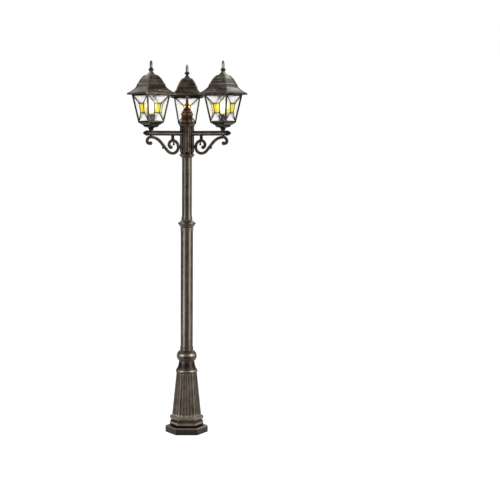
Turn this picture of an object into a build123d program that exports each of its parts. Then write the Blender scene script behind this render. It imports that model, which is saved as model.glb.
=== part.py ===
from build123d import *

import math
import os

# Garden lamp post with three lanterns on arms at 120 degrees.
# Millimetres, +Z up. The origin is on the ground, on the axis of the post. The rear arm points along +Y.

# Arms and lanterns
ARM_NAMES = ("rear", "left", "right")  # in turn about the post, starting at the back
LANTERN_REACH = 232.0  # post axis to lantern axis
LANTERN_TURN = 0.065  # share of a right angle by which the front lanterns are turned on their stems

# Fits
SLIP = 0.2  # radial room of a tube or peg in its socket
THREAD_ROOM = 0.15  # radial room of a threaded piece in its hole
RUNNING = 0.4  # room around a piece that moves
WALL = 6.0  # least wall of a casting
EDGE = 2.0  # steps and eased edges of the mouldings
PAST = 2.0  # how far a cut runs past the face it opens
END_ROOM = 1.0  # free length past the end of a peg or a tube in its hole

# Pedestal casting, from the ground up
PLINTH_ACROSS = 210.4  # across the flats of the hexagon
PLINTH_HEIGHT = 38.5
PLINTH_CHAMFER = 4.0
PLINTH_WALL = 7.0
PLINTH_ROOF = 8.0  # thickness over the hollow of the plinth
FOOT_ACROSS = 167.0  # moulding above the plinth
FOOT_HEIGHT = 33.5
FOOT_RING_ACROSS = 168.0
FOOT_RING_HEIGHT = 28.0
FOOT_STEP = 7.0  # how far the foot's waist stands inside its moulding
FOOT_SWELL_AT = 0.55  # share of the foot's height where it is widest
COLUMN_FOOT_RADIUS = 84.0
COLUMN_TOP_RADIUS = 59.0
COLUMN_HEIGHT = 243.0
FLUTE_COUNT = 16
FLUTE_DEPTH = 0.055  # share of the column's radius
FLUTE_RADIUS = 0.2  # share of the column's radius
COLUMN_RING_HEIGHT = 22.0
COLUMN_RING_SWELL = 4.0
NECK_HEIGHT = 47.0
NECK_WALL = 10.0  # around the lower post
NECK_BEND_AT = 0.4  # share of the neck's height where it is most hollow
BULGE_HEIGHT = 56.0
BULGE_WALL = 23.0
BULGE_AT = 0.5  # share of the bulge's height where it is widest
COLLAR_HEIGHT = 24.0
COLLAR_WALL = 2.4

# Posts and the coupling between them
LOWER_POST_RADIUS = 35.0
LOWER_POST_LENGTH = 745.0
UPPER_POST_RADIUS = 28.0
UPPER_POST_LENGTH = 440.0
POST_WALL = 2.5
POST_SOCKET = 80.0  # depth in the pedestal
COUPLING_SPIGOT = 60.0  # depth in the lower post
COUPLING_BEAD_HEIGHT = 8.0
COUPLING_BEAD_GAP = 3.0
COUPLING_BEAD_SWELL = 1.8
COUPLING_OVERHANG = 1.0  # waist past the lower post
COUPLING_LIP_RADIUS = 50.5
COUPLING_CONE_HEIGHT = 21.0
COUPLING_LIP_HEIGHT = 6.0
COUPLING_CROWN_HEIGHT = 20.0
COUPLING_CROWN_BEND = (0.4, 0.35)  # hollow of the crown, as shares of its depth and height
COUPLING_COLLAR_HEIGHT = 13.0
COUPLING_SOCKET = 46.0  # depth for the upper post
COUPLING_BORE = 20.0

# Hub casting
HUB_HEIGHT = 200.0
HUB_SOCKET = 58.0  # depth for the upper post
HUB_CUP_RADIUS = 44.0
HUB_CUP_HEIGHT = 22.0
HUB_CORE_RADIUS = 35.0
HUB_FLOOR = 10.0  # web over the upper post
HUB_CAVITY = 23.0  # half width across the flats of the wiring space
RIB_COUNT = 6
RIB_RADIUS = 15.5
RIB_CENTRE = 29.0  # post axis to the axis of a rib
HUB_RING_RADIUS = 45.0
HUB_RING_HEIGHT = 12.0
HUB_RING_DROP = 9.0  # top of the ring below the top of the hub
SPOT_DEPTH = 2.0  # depth of the spot face for a scroll in its rib
FINIAL_PLUG = 20.0

# Hub finial
FINIAL_FOOT_RADIUS = 40.0
FINIAL_FOOT_HEIGHT = 8.0
FINIAL_DRUM_RADIUS = 32.0
FINIAL_DRUM_HEIGHT = 32.0
FINIAL_RING_RADIUS = 36.0
FINIAL_RING_HEIGHT = 14.0
FINIAL_STEP_RADIUS = 30.0
FINIAL_STEP_HEIGHT = 10.0
FINIAL_BELL_RADIUS = 24.0
FINIAL_BELL_HEIGHT = 32.0
FINIAL_SHOULDER_AT = 0.35  # share of the bell's height where its shoulder ends
FINIAL_HOLLOW_AT = 0.7  # share of the bell's height where it is most hollow
FINIAL_NECK_RADIUS = 7.0
FINIAL_BEAD_RADIUS = 13.0
FINIAL_BEAD_HEIGHT = 11.0
FINIAL_SPIKE_RADIUS = 7.5
FINIAL_SPIKE_HEIGHT = 46.0
FINIAL_SPIKE_AT = 0.35  # share of the spike's height where it is widest

# Arms
ARM_RISE = 138.0  # arm axis above the foot of the hub
ARM_RADIUS = 14.0
ARM_BORE = 5.5
ARM_SEAT = 34.0  # post axis to the spot face on the hub
ARM_OVERHANG = 30.0  # tube past the lantern axis
ARM_TIP_LENGTH = 22.0
ARM_TIP_COLLAR = 2.0
ARM_TIP_BEAD = 8.0  # length of the bead before the point
ARM_TIP_BEND = (0.8, 0.4)  # curve of the point, as shares of its radius and length
ARM_TIP_END = 0.25  # share of the radius left at the end of the point
ARM_SPIGOT_RADIUS = 8.0
LOCKNUT_THICKNESS = 5.0
LOCKNUT_ACROSS = 22.0
ARM_PAD_RADIUS = 13.0
ARM_PAD_RISE = 1.0

# Scroll brackets: a bar in the plane of the arm
SCROLL_WIDTH = 16.0
SCROLL_THICKNESS = 12.0
SCROLL_ROUND = 3.5
SCROLL_OUTER_SWEEP = 0.63  # radius of the long outer curve, as a share of the span
SCROLL_OUTER_CURL = 22.0
SCROLL_OUTER_EYE = 14.0
SCROLL_OUTER_TURN = 120  # degrees of the outer eye
SCROLL_OUTER_SETOFF = 3.0  # top of the curl past the lantern axis
SCROLL_DROP = 113.0  # arm axis to the centre line at the belly
SCROLL_BELLY = 0.336  # radius of the belly, as a share of the span
SCROLL_LOOP = 36.0
SCROLL_LOOP_CURL = 24.0
SCROLL_LOOP_EYE = 14.0
SCROLL_LOOP_TURN = 80  # degrees of the inner eye
SCROLL_LOOP_ROOM = 12.5  # hub rib to the centre line of the loop
SCROLL_EYE_RADIUS = 10.5
SCROLL_EYE_SWELL = 1.0  # eye past each side of the bar
SCROLL_LUG_RADIUS = 9.0
SCROLL_PEG_RADIUS = 4.0
SCROLL_PEG_LENGTH = 5.0
SCROLL_KNUCKLE_RADIUS = 8.0
SCROLL_BUD_RADIUS = 6.5
SCROLL_BUD_STALK = 0.7  # share of the bud's radius

# Lantern base: funnel stem and square pan, as half widths across the flats
STEM_FOOT_RADIUS = 11.5
STEM_TOP_RADIUS = 23.0
STEM_HEIGHT = 17.0
STEM_FLARE_AT = 0.6  # share of the stem's height where it bends
PAN_BOWL = 33.0
PAN_BOWL_HEIGHT = 14.0
PAN_BOWL_AT = 0.35  # share of the bowl's height where it bulges
PAN_STEP = 2.5
PAN_COVE_HEIGHT = 12.5
PAN_COVE_AT = 0.4  # share of the cove's height where it is most hollow
PAN_RIM_HEIGHT = 3.5
PAN_FLOOR = 6.0  # floor above the bowl's top edge
PAN_WALL = 5.0
STEM_PIPE_RADIUS = 5.0
STEM_PIPE_BORE = 3.0
STEM_NUT_ACROSS = 17.0
STEM_NUT_THICKNESS = 5.0
CAGE_SCREW_RADIUS = 2.0
CAGE_SCREW_INSET = 10.0  # screw axis inside the foot of the cage
CAGE_SCREW_HEAD = 3.5
CAGE_SCREW_HEAD_HEIGHT = 3.0
CAGE_BOSS_RADIUS = 6.0

# Lantern cage and glazing
CAGE_FOOT = 52.5  # half width at the foot
CAGE_HEAD = 78.0  # half width at the head
CAGE_HEIGHT = 152.0
CAGE_BAR = 7.5
CAGE_RAIL = 6.0
GLASS_THICKNESS = 2.0
GLASS_ROOM = 0.3  # around a pane in its slot
GLASS_INSET = 3.5  # outer face of the cage to the middle of the glass
GLASS_BITE = 2.2  # depth of the slot in a corner bar
LEAD_WIDTH = 5.0
LEAD_CORE = 1.4
LEAD_FLANGE = 0.6
LEAD_ROOM = 1.0  # end of a flange to the cage
LEAD_PAST = 1.03  # diagonals run past the corners of the pane by this share
PANE_DROP = 2.0  # top of the glass below the head of the cage
AMBER_FOOT = 0.305  # share of the pane's height where the amber begins
AMBER_HEAD = 0.675
AMBER_FOOT_SHARE = 0.28  # share of the pane's width that is amber where the amber begins
AMBER_HEAD_SHARE = 0.33

# Lamp
HOLDER_RADIUS = 22.5
HOLDER_FOOT_RADIUS = 13.0
HOLDER_HEIGHT = 51.0
HOLDER_SOCKET = 31.0
HOLDER_SKIRT_AT = 0.3  # share of the height where the skirt begins
CAP_RADIUS = 13.4
CAP_LENGTH = 27.0
CAP_CONTACT = 0.35  # share of the radius of the contact at the foot
CAP_CONTACT_HEIGHT = 1.5
CAP_TAPER = 0.8  # share of the radius at the foot of the thread
CAP_TAPER_HEIGHT = 5.0
BULB_RADIUS = 29.5
BULB_LENGTH = 82.0
BULB_WALL = 1.2
BULB_JOINT = 45  # degrees below its middle where the globe meets the neck
BULB_FLARE = (0.3, 0.6)  # curve of the neck, as shares of its width and height

# Lantern roof, as half widths across the flats and heights above the cage
EAVE = 97.5
EAVE_LIP = 9.0
ROOF_FLARE = 60.5
ROOF_FLARE_HEIGHT = 42.0
ROOF_SHOULDER = 47.5
ROOF_SHOULDER_HEIGHT = 75.0
ROOF_CROWN = 25.0
ROOF_CROWN_HEIGHT = 109.0
ROOF_CAP = 21.0
ROOF_TOP = 7.0
ROOF_TOP_HEIGHT = 130.0
ROOF_WALL = 4.0
ROOF_BAND_HEIGHT = 8.0
ROOF_BAND_SWELL = 1.6
HIP_WIDTH = 7.0
HIP_SWELL = 0.8
ROOF_FLARE_AT = 0.42  # share of the flare's height where it is most hollow
ROOF_DOME_SWELL = 2.4  # how far the dome stands out of a straight slope
SEAT_RIM = 5.0  # how far the roof's seat reaches inside and outside the head of the cage
SEAT_THICKNESS = 8.0
ROOF_SEAT_ROOM = 0.3
STUD_SETOFF = 4.5  # roof stud outside the head of the cage
STUD_RADIUS = 2.5
STUD_LUG_RADIUS = 8.0
STUD_LUG_THICKNESS = 6.0
NUT_RADIUS = 6.0
NUT_HEIGHT = 10.0
NUT_SEAT_HEIGHT = 16.0  # above the roof's seat
NUT_POCKET_ROOM = 1.0
NUT_SHOULDER = 0.4  # share of the nut's height where the dome begins
NUT_DEPTH = 0.65  # share of the nut's height that is bored

# Roof finial
SPIRE_BEAD_RADIUS = 15.0
SPIRE_BEAD_HEIGHT = 18.0
SPIRE_NECK_RADIUS = 7.0
SPIRE_RADIUS = 8.8
SPIRE_HEIGHT = 42.0
SPIRE_AT = 0.4  # share of the spire's height where it is widest
SPIRE_PEG_RADIUS = 4.0
SPIRE_PEG_LENGTH = 10.0

# Ground plate and wiring
PLATE_THICKNESS = 5.0
PLATE_ROOM = 0.5
ANCHOR_CIRCLE = 70.0
ANCHOR_HOLE_RADIUS = 5.5
TAB_WIDTH = 30.0
BASE_SCREW_RADIUS = 3.0
BASE_SCREW_LENGTH = 11.0
BASE_SCREW_SINK = 1.0
GRUB_RADIUS = 3.0
GRUB_LENGTH = 8.0
GRUB_DRILL = 60.0  # how far the hole of a grub screw runs outwards
MAINS_RADIUS = 4.5
MAINS_LIFT = 1.0  # end of the cable above the ground
GROMMET_RADIUS = 12.0
GROMMET_FLANGE = 16.0
GROMMET_FLANGE_HEIGHT = 4.0
BLOCK_WIDTH = 26.0
BLOCK_HEIGHT = 20.0
LEAD_WIRE_RADIUS = 2.0
LEAD_WIRE_CIRCLE = 6.0  # post axis to a lamp lead at the terminal block
LEAD_WIRE_BEND = 12.0
LEAD_WIRE_TURN = 8.0

# Directions that follow from the names above, in degrees
ARM_ANGLES = {name: 90 + 360 / len(ARM_NAMES) * turn for turn, name in enumerate(ARM_NAMES)}
LANTERN_TURNS = {"rear": 0, "left": 90 * LANTERN_TURN, "right": -90 * LANTERN_TURN}

# Levels that follow from the sizes above
plinth_half = PLINTH_ACROSS / 2
foot_top = PLINTH_HEIGHT + FOOT_HEIGHT
column_foot = foot_top + FOOT_RING_HEIGHT
column_top = column_foot + COLUMN_HEIGHT
neck_foot = column_top + COLUMN_RING_HEIGHT
bulge_foot = neck_foot + NECK_HEIGHT
collar_foot = bulge_foot + BULGE_HEIGHT
pedestal_top = collar_foot + COLLAR_HEIGHT
lower_post_foot = pedestal_top - POST_SOCKET
coupling_foot = lower_post_foot + LOWER_POST_LENGTH
cone_foot = coupling_foot + 2 * COUPLING_BEAD_HEIGHT + COUPLING_BEAD_GAP
lip_foot = cone_foot + COUPLING_CONE_HEIGHT
lip_top = lip_foot + COUPLING_LIP_HEIGHT
crown_top = lip_top + COUPLING_CROWN_HEIGHT
coupling_top = crown_top + COUPLING_COLLAR_HEIGHT
upper_post_foot = coupling_top - COUPLING_SOCKET
upper_post_top = upper_post_foot + UPPER_POST_LENGTH
hub_foot = upper_post_top - HUB_SOCKET
hub_top = hub_foot + HUB_HEIGHT
hub_floor = upper_post_top + HUB_FLOOR
arm_level = hub_foot + ARM_RISE
block_top = hub_floor + BLOCK_HEIGHT
stem_foot = arm_level + ARM_RADIUS + ARM_PAD_RISE
pan_foot = stem_foot + STEM_HEIGHT
pan_bowl_top = pan_foot + PAN_BOWL_HEIGHT
pan_floor = pan_bowl_top + PAN_FLOOR
pan_rim_foot = pan_bowl_top + PAN_COVE_HEIGHT
cage_foot = pan_rim_foot + PAN_RIM_HEIGHT
cage_head = cage_foot + CAGE_HEIGHT
roof_seat = cage_head + ROOF_SEAT_ROOM
roof_top = roof_seat + ROOF_TOP_HEIGHT
holder_foot = pan_floor + STEM_NUT_THICKNESS
holder_top = holder_foot + HOLDER_HEIGHT
socket_floor = holder_top - HOLDER_SOCKET
cap_foot = socket_floor + RUNNING
cap_top = cap_foot + CAP_LENGTH
stem_pipe_foot = arm_level + ARM_BORE + END_ROOM
stem_pipe_top = holder_foot + STEM_NUT_THICKNESS + WALL / 2
lamp_lead_top = stem_pipe_top + PAST
nut_seat = roof_seat + NUT_SEAT_HEIGHT
stud_reach = CAGE_HEAD + STUD_SETOFF

# Inclined plane of a pane, on the face that looks along +X of a lantern
lean = math.atan2(CAGE_HEAD - CAGE_FOOT, CAGE_HEIGHT)
slope = CAGE_HEIGHT / math.cos(lean)
pane_plane = Plane(
    origin=(CAGE_FOOT - GLASS_INSET, 0, cage_foot),
    x_dir=(0, 1, 0),
    z_dir=(math.cos(lean), 0, -math.sin(lean)),
)


def upright_edges(outline, closed=False):
    """Edges in the XZ plane. A step is a point, or a pair: the middle and the end of an arc."""
    here = outline[0]
    edges = []
    steps = list(outline[1:]) + ([here] if closed else [])
    for step in steps:
        if isinstance(step[0], tuple):
            middle, end = step
            edges.append(ThreePointArc((here[0], 0, here[1]), (middle[0], 0, middle[1]), (end[0], 0, end[1])))
        else:
            end = step
            edges.append(Line((here[0], 0, here[1]), (end[0], 0, end[1])))
        here = end
    return edges


def turned(*outline):
    """Solid of revolution about Z from a closed outline of (radius, height) steps."""
    return revolve(make_face(upright_edges(outline, closed=True)), Axis.Z)


def tube(inner, outer, foot, top):
    return turned((inner, foot), (outer, foot), (outer, top), (inner, top))


def rod(radius, foot, top):
    return turned((0, foot), (radius, foot), (radius, top), (0, top))


def slab(outline, half_depth):
    """Symmetrical outline, given from its lowest axis point to its highest, thickened along Y."""
    right = upright_edges(outline)
    left = [mirror(edge, about=Plane.YZ) for edge in right]
    return extrude(make_face(right + left), amount=half_depth, both=True)


def mitred(sides, *outline):
    """Solid of regular plan whose half width across the flats follows the outline, with mitred corners."""
    points = [step[1] if isinstance(step[0], tuple) else step for step in outline]
    reach = 2 * max(x for x, z in points)
    piece = slab(outline, reach)
    solid = piece
    for turn in range(1, sides // 2):
        solid = solid & (Rot(0, 0, 360 / sides * turn) * piece)
    return solid


def hexagonal(*outline):
    """Six-sided solid with a flat side towards the front, -Y."""
    return Rot(0, 0, 30) * mitred(6, *outline)


def lying(solid, level):
    """Turns a solid made along +Z to lie along +X at a height."""
    return Pos(0, 0, level) * Rot(0, 90, 0) * solid


def around(solid, angles):
    """Copies of a solid about the post's axis."""
    return [Rot(0, 0, angle) * solid for angle in angles]


def at_lantern(solid, side):
    """Moves a solid made about the lantern's axis to the lantern of an arm."""
    return Rot(0, 0, ARM_ANGLES[side]) * Pos(LANTERN_REACH, 0, 0) * Rot(0, 0, LANTERN_TURNS[side]) * solid


def hex_nut(across, bore, foot, top):
    nut = extrude(Pos(0, 0, foot) * RegularPolygon(across / 2, 6, major_radius=False), amount=top - foot)
    return nut - rod(bore, foot, top)


GRUB_ANGLES = (30, 150)
BASE_SCREW_ANGLES = (90, 210, 330)
ANCHOR_ANGLES = (30, 150, 270)
# Height and inner radius of each pair of grub screws
grub_places = [
    (bulge_foot + BULGE_HEIGHT / 2, LOWER_POST_RADIUS),
    (lip_foot + COUPLING_LIP_HEIGHT / 2, UPPER_POST_RADIUS),
    (hub_foot + HUB_CUP_HEIGHT - 2 * GRUB_RADIUS, UPPER_POST_RADIUS),
    (hub_top - HUB_RING_DROP - HUB_RING_HEIGHT / 2, HUB_CAVITY - SLIP),
]


def grub_holes(place):
    level, inner = place
    return around(lying(rod(GRUB_RADIUS + THREAD_ROOM, inner - PAST, inner + GRUB_DRILL), level), GRUB_ANGLES)


def set_screws():
    screws = []
    for level, inner in grub_places:
        start = inner + SLIP
        screws += around(lying(rod(GRUB_RADIUS, start, start + GRUB_LENGTH), level), GRUB_ANGLES)
    return screws


def fluted_section(radius, level):
    flute = Circle(FLUTE_RADIUS * radius)
    centre = radius * (1 + FLUTE_RADIUS - FLUTE_DEPTH)
    return Pos(0, 0, level) * (Circle(radius) - PolarLocations(centre, FLUTE_COUNT) * flute)


def base_pedestal():
    foot_half = FOOT_ACROSS / 2
    waist = foot_half - FOOT_STEP
    ring_half = FOOT_RING_ACROSS / 2
    foot = hexagonal(
        (0, 0),
        (plinth_half, 0),
        (plinth_half, PLINTH_HEIGHT - PLINTH_CHAMFER),
        (plinth_half - PLINTH_CHAMFER, PLINTH_HEIGHT),
        (foot_half - FOOT_STEP / 2, PLINTH_HEIGHT),
        ((foot_half, PLINTH_HEIGHT + FOOT_HEIGHT * FOOT_SWELL_AT), (waist, foot_top)),
        (waist, foot_top + EDGE),
        ((ring_half, foot_top + FOOT_RING_HEIGHT / 2), (waist, column_foot)),
        (0, column_foot),
    )
    column = loft(
        [
            fluted_section(COLUMN_FOOT_RADIUS, column_foot),
            fluted_section(COLUMN_TOP_RADIUS, column_top),
        ],
        ruled=True,
    )
    neck = LOWER_POST_RADIUS + NECK_WALL
    bulge = LOWER_POST_RADIUS + BULGE_WALL
    collar = LOWER_POST_RADIUS + SLIP + COLLAR_WALL
    ring = COLUMN_TOP_RADIUS + COLUMN_RING_SWELL
    upper = turned(
        (0, column_top),
        (COLUMN_TOP_RADIUS, column_top),
        ((ring, column_top + COLUMN_RING_HEIGHT / 2), (COLUMN_TOP_RADIUS - EDGE, neck_foot)),
        ((neck + 2 * EDGE, neck_foot + NECK_HEIGHT * NECK_BEND_AT), (neck, bulge_foot)),
        ((bulge, bulge_foot + BULGE_HEIGHT * BULGE_AT), (neck, collar_foot)),
        (collar, collar_foot + EDGE),
        (collar, pedestal_top),
        (0, pedestal_top),
    )
    hollow_foot = COLUMN_FOOT_RADIUS * (1 - FLUTE_DEPTH) - 2 * WALL
    hollow_top = COLUMN_TOP_RADIUS * (1 - FLUTE_DEPTH) - WALL
    ledge = LOWER_POST_RADIUS - WALL
    bore = LOWER_POST_RADIUS + SLIP
    hollow_plinth = PLINTH_HEIGHT - PLINTH_ROOF
    hollow = turned(
        (0, 0),
        (hollow_foot, 0),
        (hollow_foot, hollow_plinth),
        (hollow_top, column_top),
        (ledge, lower_post_foot - 2 * WALL),
        (ledge, lower_post_foot),
        (bore, lower_post_foot),
        (bore, pedestal_top),
        (0, pedestal_top),
    )
    inner = plinth_half - PLINTH_WALL
    pocket = hexagonal((0, 0), (inner, 0), (inner, hollow_plinth), (0, hollow_plinth))
    solid = foot + column + upper - hollow - pocket
    for hole in grub_holes(grub_places[0]):
        solid -= hole
    drill = rod(BASE_SCREW_RADIUS + THREAD_ROOM, inner - PAST, plinth_half + PAST)
    for hole in around(lying(drill, base_screw_level), BASE_SCREW_ANGLES):
        solid -= hole
    return solid


base_screw_level = PLATE_THICKNESS + (PLINTH_HEIGHT - PLINTH_ROOF - PLATE_THICKNESS) / 2
plate_half = plinth_half - PLINTH_WALL - PLATE_ROOM


def ground_plate():
    plate = hexagonal((0, 0), (plate_half, 0), (plate_half, PLATE_THICKNESS), (0, PLATE_THICKNESS))
    tab_top = PLINTH_HEIGHT - PLINTH_ROOF - END_ROOM
    middle = plate_half - PLATE_THICKNESS / 2
    tab = Pos(middle, 0, tab_top / 2) * Box(PLATE_THICKNESS, TAB_WIDTH, tab_top)
    for piece in around(tab, BASE_SCREW_ANGLES):
        plate += piece
    tapping = rod(BASE_SCREW_RADIUS + THREAD_ROOM, plate_half - 2 * PLATE_THICKNESS, plate_half + PAST)
    for hole in around(lying(tapping, base_screw_level), BASE_SCREW_ANGLES):
        plate -= hole
    anchor = Pos(ANCHOR_CIRCLE, 0, 0) * rod(ANCHOR_HOLE_RADIUS, 0, PLATE_THICKNESS)
    for hole in around(anchor, ANCHOR_ANGLES):
        plate -= hole
    return plate - rod(GROMMET_RADIUS, 0, PLATE_THICKNESS)


def base_screws():
    outer = plinth_half - BASE_SCREW_SINK
    screw = lying(rod(BASE_SCREW_RADIUS, outer - BASE_SCREW_LENGTH, outer), base_screw_level)
    return around(screw, BASE_SCREW_ANGLES)


def cable_grommet():
    bore = MAINS_RADIUS + SLIP
    barrel = GROMMET_RADIUS - SLIP
    flange_top = PLATE_THICKNESS + GROMMET_FLANGE_HEIGHT
    shoulder = GROMMET_FLANGE - GROMMET_FLANGE_HEIGHT
    diagonal = GROMMET_FLANGE_HEIGHT * math.sqrt(0.5)
    return turned(
        (bore, MAINS_LIFT),
        (barrel, MAINS_LIFT),
        (barrel, PLATE_THICKNESS),
        (GROMMET_FLANGE, PLATE_THICKNESS),
        ((shoulder + diagonal, PLATE_THICKNESS + diagonal), (shoulder, flange_top)),
        (bore, flange_top),
    )


def lower_post():
    return tube(LOWER_POST_RADIUS - POST_WALL, LOWER_POST_RADIUS, lower_post_foot, coupling_foot)


def upper_post():
    return tube(UPPER_POST_RADIUS - POST_WALL, UPPER_POST_RADIUS, upper_post_foot, upper_post_top)


def post_coupling():
    spigot = LOWER_POST_RADIUS - POST_WALL - SLIP
    waist = LOWER_POST_RADIUS + COUPLING_OVERHANG
    swell = waist + COUPLING_BEAD_SWELL
    first = coupling_foot + COUPLING_BEAD_HEIGHT
    second = first + COUPLING_BEAD_GAP
    bore = UPPER_POST_RADIUS + SLIP
    collar = bore + COLLAR_WALL
    depth, height = COUPLING_CROWN_BEND
    crown_bend = (collar + (COUPLING_LIP_RADIUS - collar) * depth, lip_top + COUPLING_CROWN_HEIGHT * height)
    solid = turned(
        (COUPLING_BORE, coupling_foot - COUPLING_SPIGOT),
        (spigot, coupling_foot - COUPLING_SPIGOT),
        (spigot, coupling_foot),
        (waist, coupling_foot),
        ((swell, coupling_foot + COUPLING_BEAD_HEIGHT / 2), (waist, first)),
        (waist, second),
        ((swell, second + COUPLING_BEAD_HEIGHT / 2), (waist, cone_foot)),
        (COUPLING_LIP_RADIUS, lip_foot),
        (COUPLING_LIP_RADIUS, lip_top),
        (crown_bend, (collar, crown_top)),
        (collar, coupling_top),
        (bore, coupling_top),
        (bore, upper_post_foot),
        (COUPLING_BORE, upper_post_foot),
    )
    for hole in grub_holes(grub_places[1]):
        solid -= hole
    return solid


lug_level = arm_level - SCROLL_DROP + SCROLL_LOOP
lug_seat = RIB_CENTRE + RIB_RADIUS - SPOT_DEPTH


def arm_hub():
    socket = UPPER_POST_RADIUS + SLIP
    cup_foot = socket + COLLAR_WALL
    ring_foot = hub_top - HUB_RING_DROP - HUB_RING_HEIGHT
    ring_top = hub_top - HUB_RING_DROP
    cup_top = hub_foot + HUB_CUP_HEIGHT
    bead = cup_top - HUB_CUP_HEIGHT / 4
    solid = turned(
        (0, hub_foot),
        (cup_foot, hub_foot),
        (HUB_CUP_RADIUS - EDGE, bead - 2 * EDGE),
        ((HUB_CUP_RADIUS, bead), (HUB_CUP_RADIUS - EDGE, bead + 2 * EDGE)),
        (HUB_CORE_RADIUS, cup_top + EDGE),
        (HUB_CORE_RADIUS, ring_foot - 2 * EDGE),
        (HUB_RING_RADIUS - EDGE, ring_foot),
        ((HUB_RING_RADIUS, (ring_foot + ring_top) / 2), (HUB_RING_RADIUS - EDGE, ring_top)),
        (HUB_CORE_RADIUS + EDGE / 2, ring_top + EDGE),
        (HUB_CORE_RADIUS + EDGE / 2, hub_top),
        (0, hub_top),
    )
    rib_foot = cup_top + EDGE / 2
    shoulder = RIB_RADIUS * math.sqrt(0.5)
    rib = turned(
        (0, rib_foot),
        ((shoulder, rib_foot + RIB_RADIUS - shoulder), (RIB_RADIUS, rib_foot + RIB_RADIUS)),
        (RIB_RADIUS, ring_foot),
        (0, ring_foot),
    )
    for copy in around(Pos(RIB_CENTRE, 0, 0) * rib, [30 + 360 / RIB_COUNT * k for k in range(RIB_COUNT)]):
        solid += copy
    solid -= rod(socket, hub_foot, upper_post_top)
    solid -= rod(2 * MAINS_RADIUS, upper_post_top, hub_floor)
    solid -= hexagonal((0, hub_floor), (HUB_CAVITY, hub_floor), (HUB_CAVITY, hub_top), (0, hub_top))
    cuts = [
        lying(rod(ARM_SPIGOT_RADIUS + SLIP, HUB_CAVITY - PAST, ARM_SEAT + PAST), arm_level),
        lying(rod(ARM_RADIUS + SLIP, ARM_SEAT, ARM_SEAT + 2 * RIB_RADIUS), arm_level),
        lying(rod(SCROLL_LUG_RADIUS + SLIP, lug_seat, lug_seat + RIB_RADIUS), lug_level),
        lying(rod(SCROLL_PEG_RADIUS + SLIP, lug_seat - SCROLL_PEG_LENGTH - END_ROOM, lug_seat), lug_level),
    ]
    for cut in cuts:
        for copy in around(cut, ARM_ANGLES.values()):
            solid -= copy
    for place in grub_places[2:]:
        for hole in grub_holes(place):
            solid -= hole
    return solid


def hub_finial():
    foot_top = hub_top + FINIAL_FOOT_HEIGHT
    drum_top = hub_top + FINIAL_FOOT_HEIGHT + FINIAL_DRUM_HEIGHT
    ring_top = drum_top + FINIAL_RING_HEIGHT
    step_top = ring_top + FINIAL_STEP_HEIGHT
    bell_top = step_top + FINIAL_BELL_HEIGHT
    bead_top = bell_top + FINIAL_BEAD_HEIGHT
    tip = bead_top + FINIAL_SPIKE_HEIGHT
    plug = HUB_CAVITY - SLIP
    ring_edge = FINIAL_RING_RADIUS - EDGE
    hollow = (FINIAL_NECK_RADIUS + 2 * EDGE, step_top + FINIAL_BELL_HEIGHT * FINIAL_HOLLOW_AT)
    spike = (FINIAL_SPIKE_RADIUS, bead_top + FINIAL_SPIKE_HEIGHT * FINIAL_SPIKE_AT)
    point = FINIAL_SPIKE_RADIUS / 2
    return turned(
        (0, hub_top - FINIAL_PLUG),
        (plug, hub_top - FINIAL_PLUG),
        (plug, hub_top),
        (FINIAL_FOOT_RADIUS, hub_top),
        (FINIAL_FOOT_RADIUS, foot_top - EDGE),
        (FINIAL_DRUM_RADIUS, foot_top),
        (FINIAL_DRUM_RADIUS, drum_top),
        (ring_edge, drum_top + EDGE),
        ((FINIAL_RING_RADIUS, drum_top + FINIAL_RING_HEIGHT / 2), (ring_edge, ring_top - EDGE)),
        (FINIAL_STEP_RADIUS, ring_top),
        (FINIAL_STEP_RADIUS, step_top - EDGE),
        (FINIAL_BELL_RADIUS, step_top),
        (FINIAL_BELL_RADIUS - EDGE, step_top + FINIAL_BELL_HEIGHT * FINIAL_SHOULDER_AT),
        (hollow, (FINIAL_NECK_RADIUS, bell_top)),
        ((FINIAL_BEAD_RADIUS, bell_top + FINIAL_BEAD_HEIGHT / 2), (FINIAL_NECK_RADIUS, bead_top)),
        (spike, (point, tip - point)),
        (0, tip),
    )


def terminal_block():
    body = Pos(0, 0, hub_floor + BLOCK_HEIGHT / 2) * Box(BLOCK_WIDTH, BLOCK_WIDTH, BLOCK_HEIGHT)
    body = chamfer(body.edges().filter_by(Axis.Z), BLOCK_WIDTH / 8)
    screw = BLOCK_WIDTH / 8
    post = Pos(BLOCK_WIDTH / 3, 0, 0) * rod(screw, block_top, block_top + screw)
    for copy in around(post, [angle + 180 / len(ARM_NAMES) for angle in ARM_ANGLES.values()]):
        body += copy
    return body


def mains_cable():
    return rod(MAINS_RADIUS, MAINS_LIFT, hub_floor)


def arm_locknuts():
    nut = hex_nut(LOCKNUT_ACROSS, ARM_SPIGOT_RADIUS + THREAD_ROOM, HUB_CAVITY - LOCKNUT_THICKNESS, HUB_CAVITY)
    return around(lying(nut, arm_level), ARM_ANGLES.values())


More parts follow.
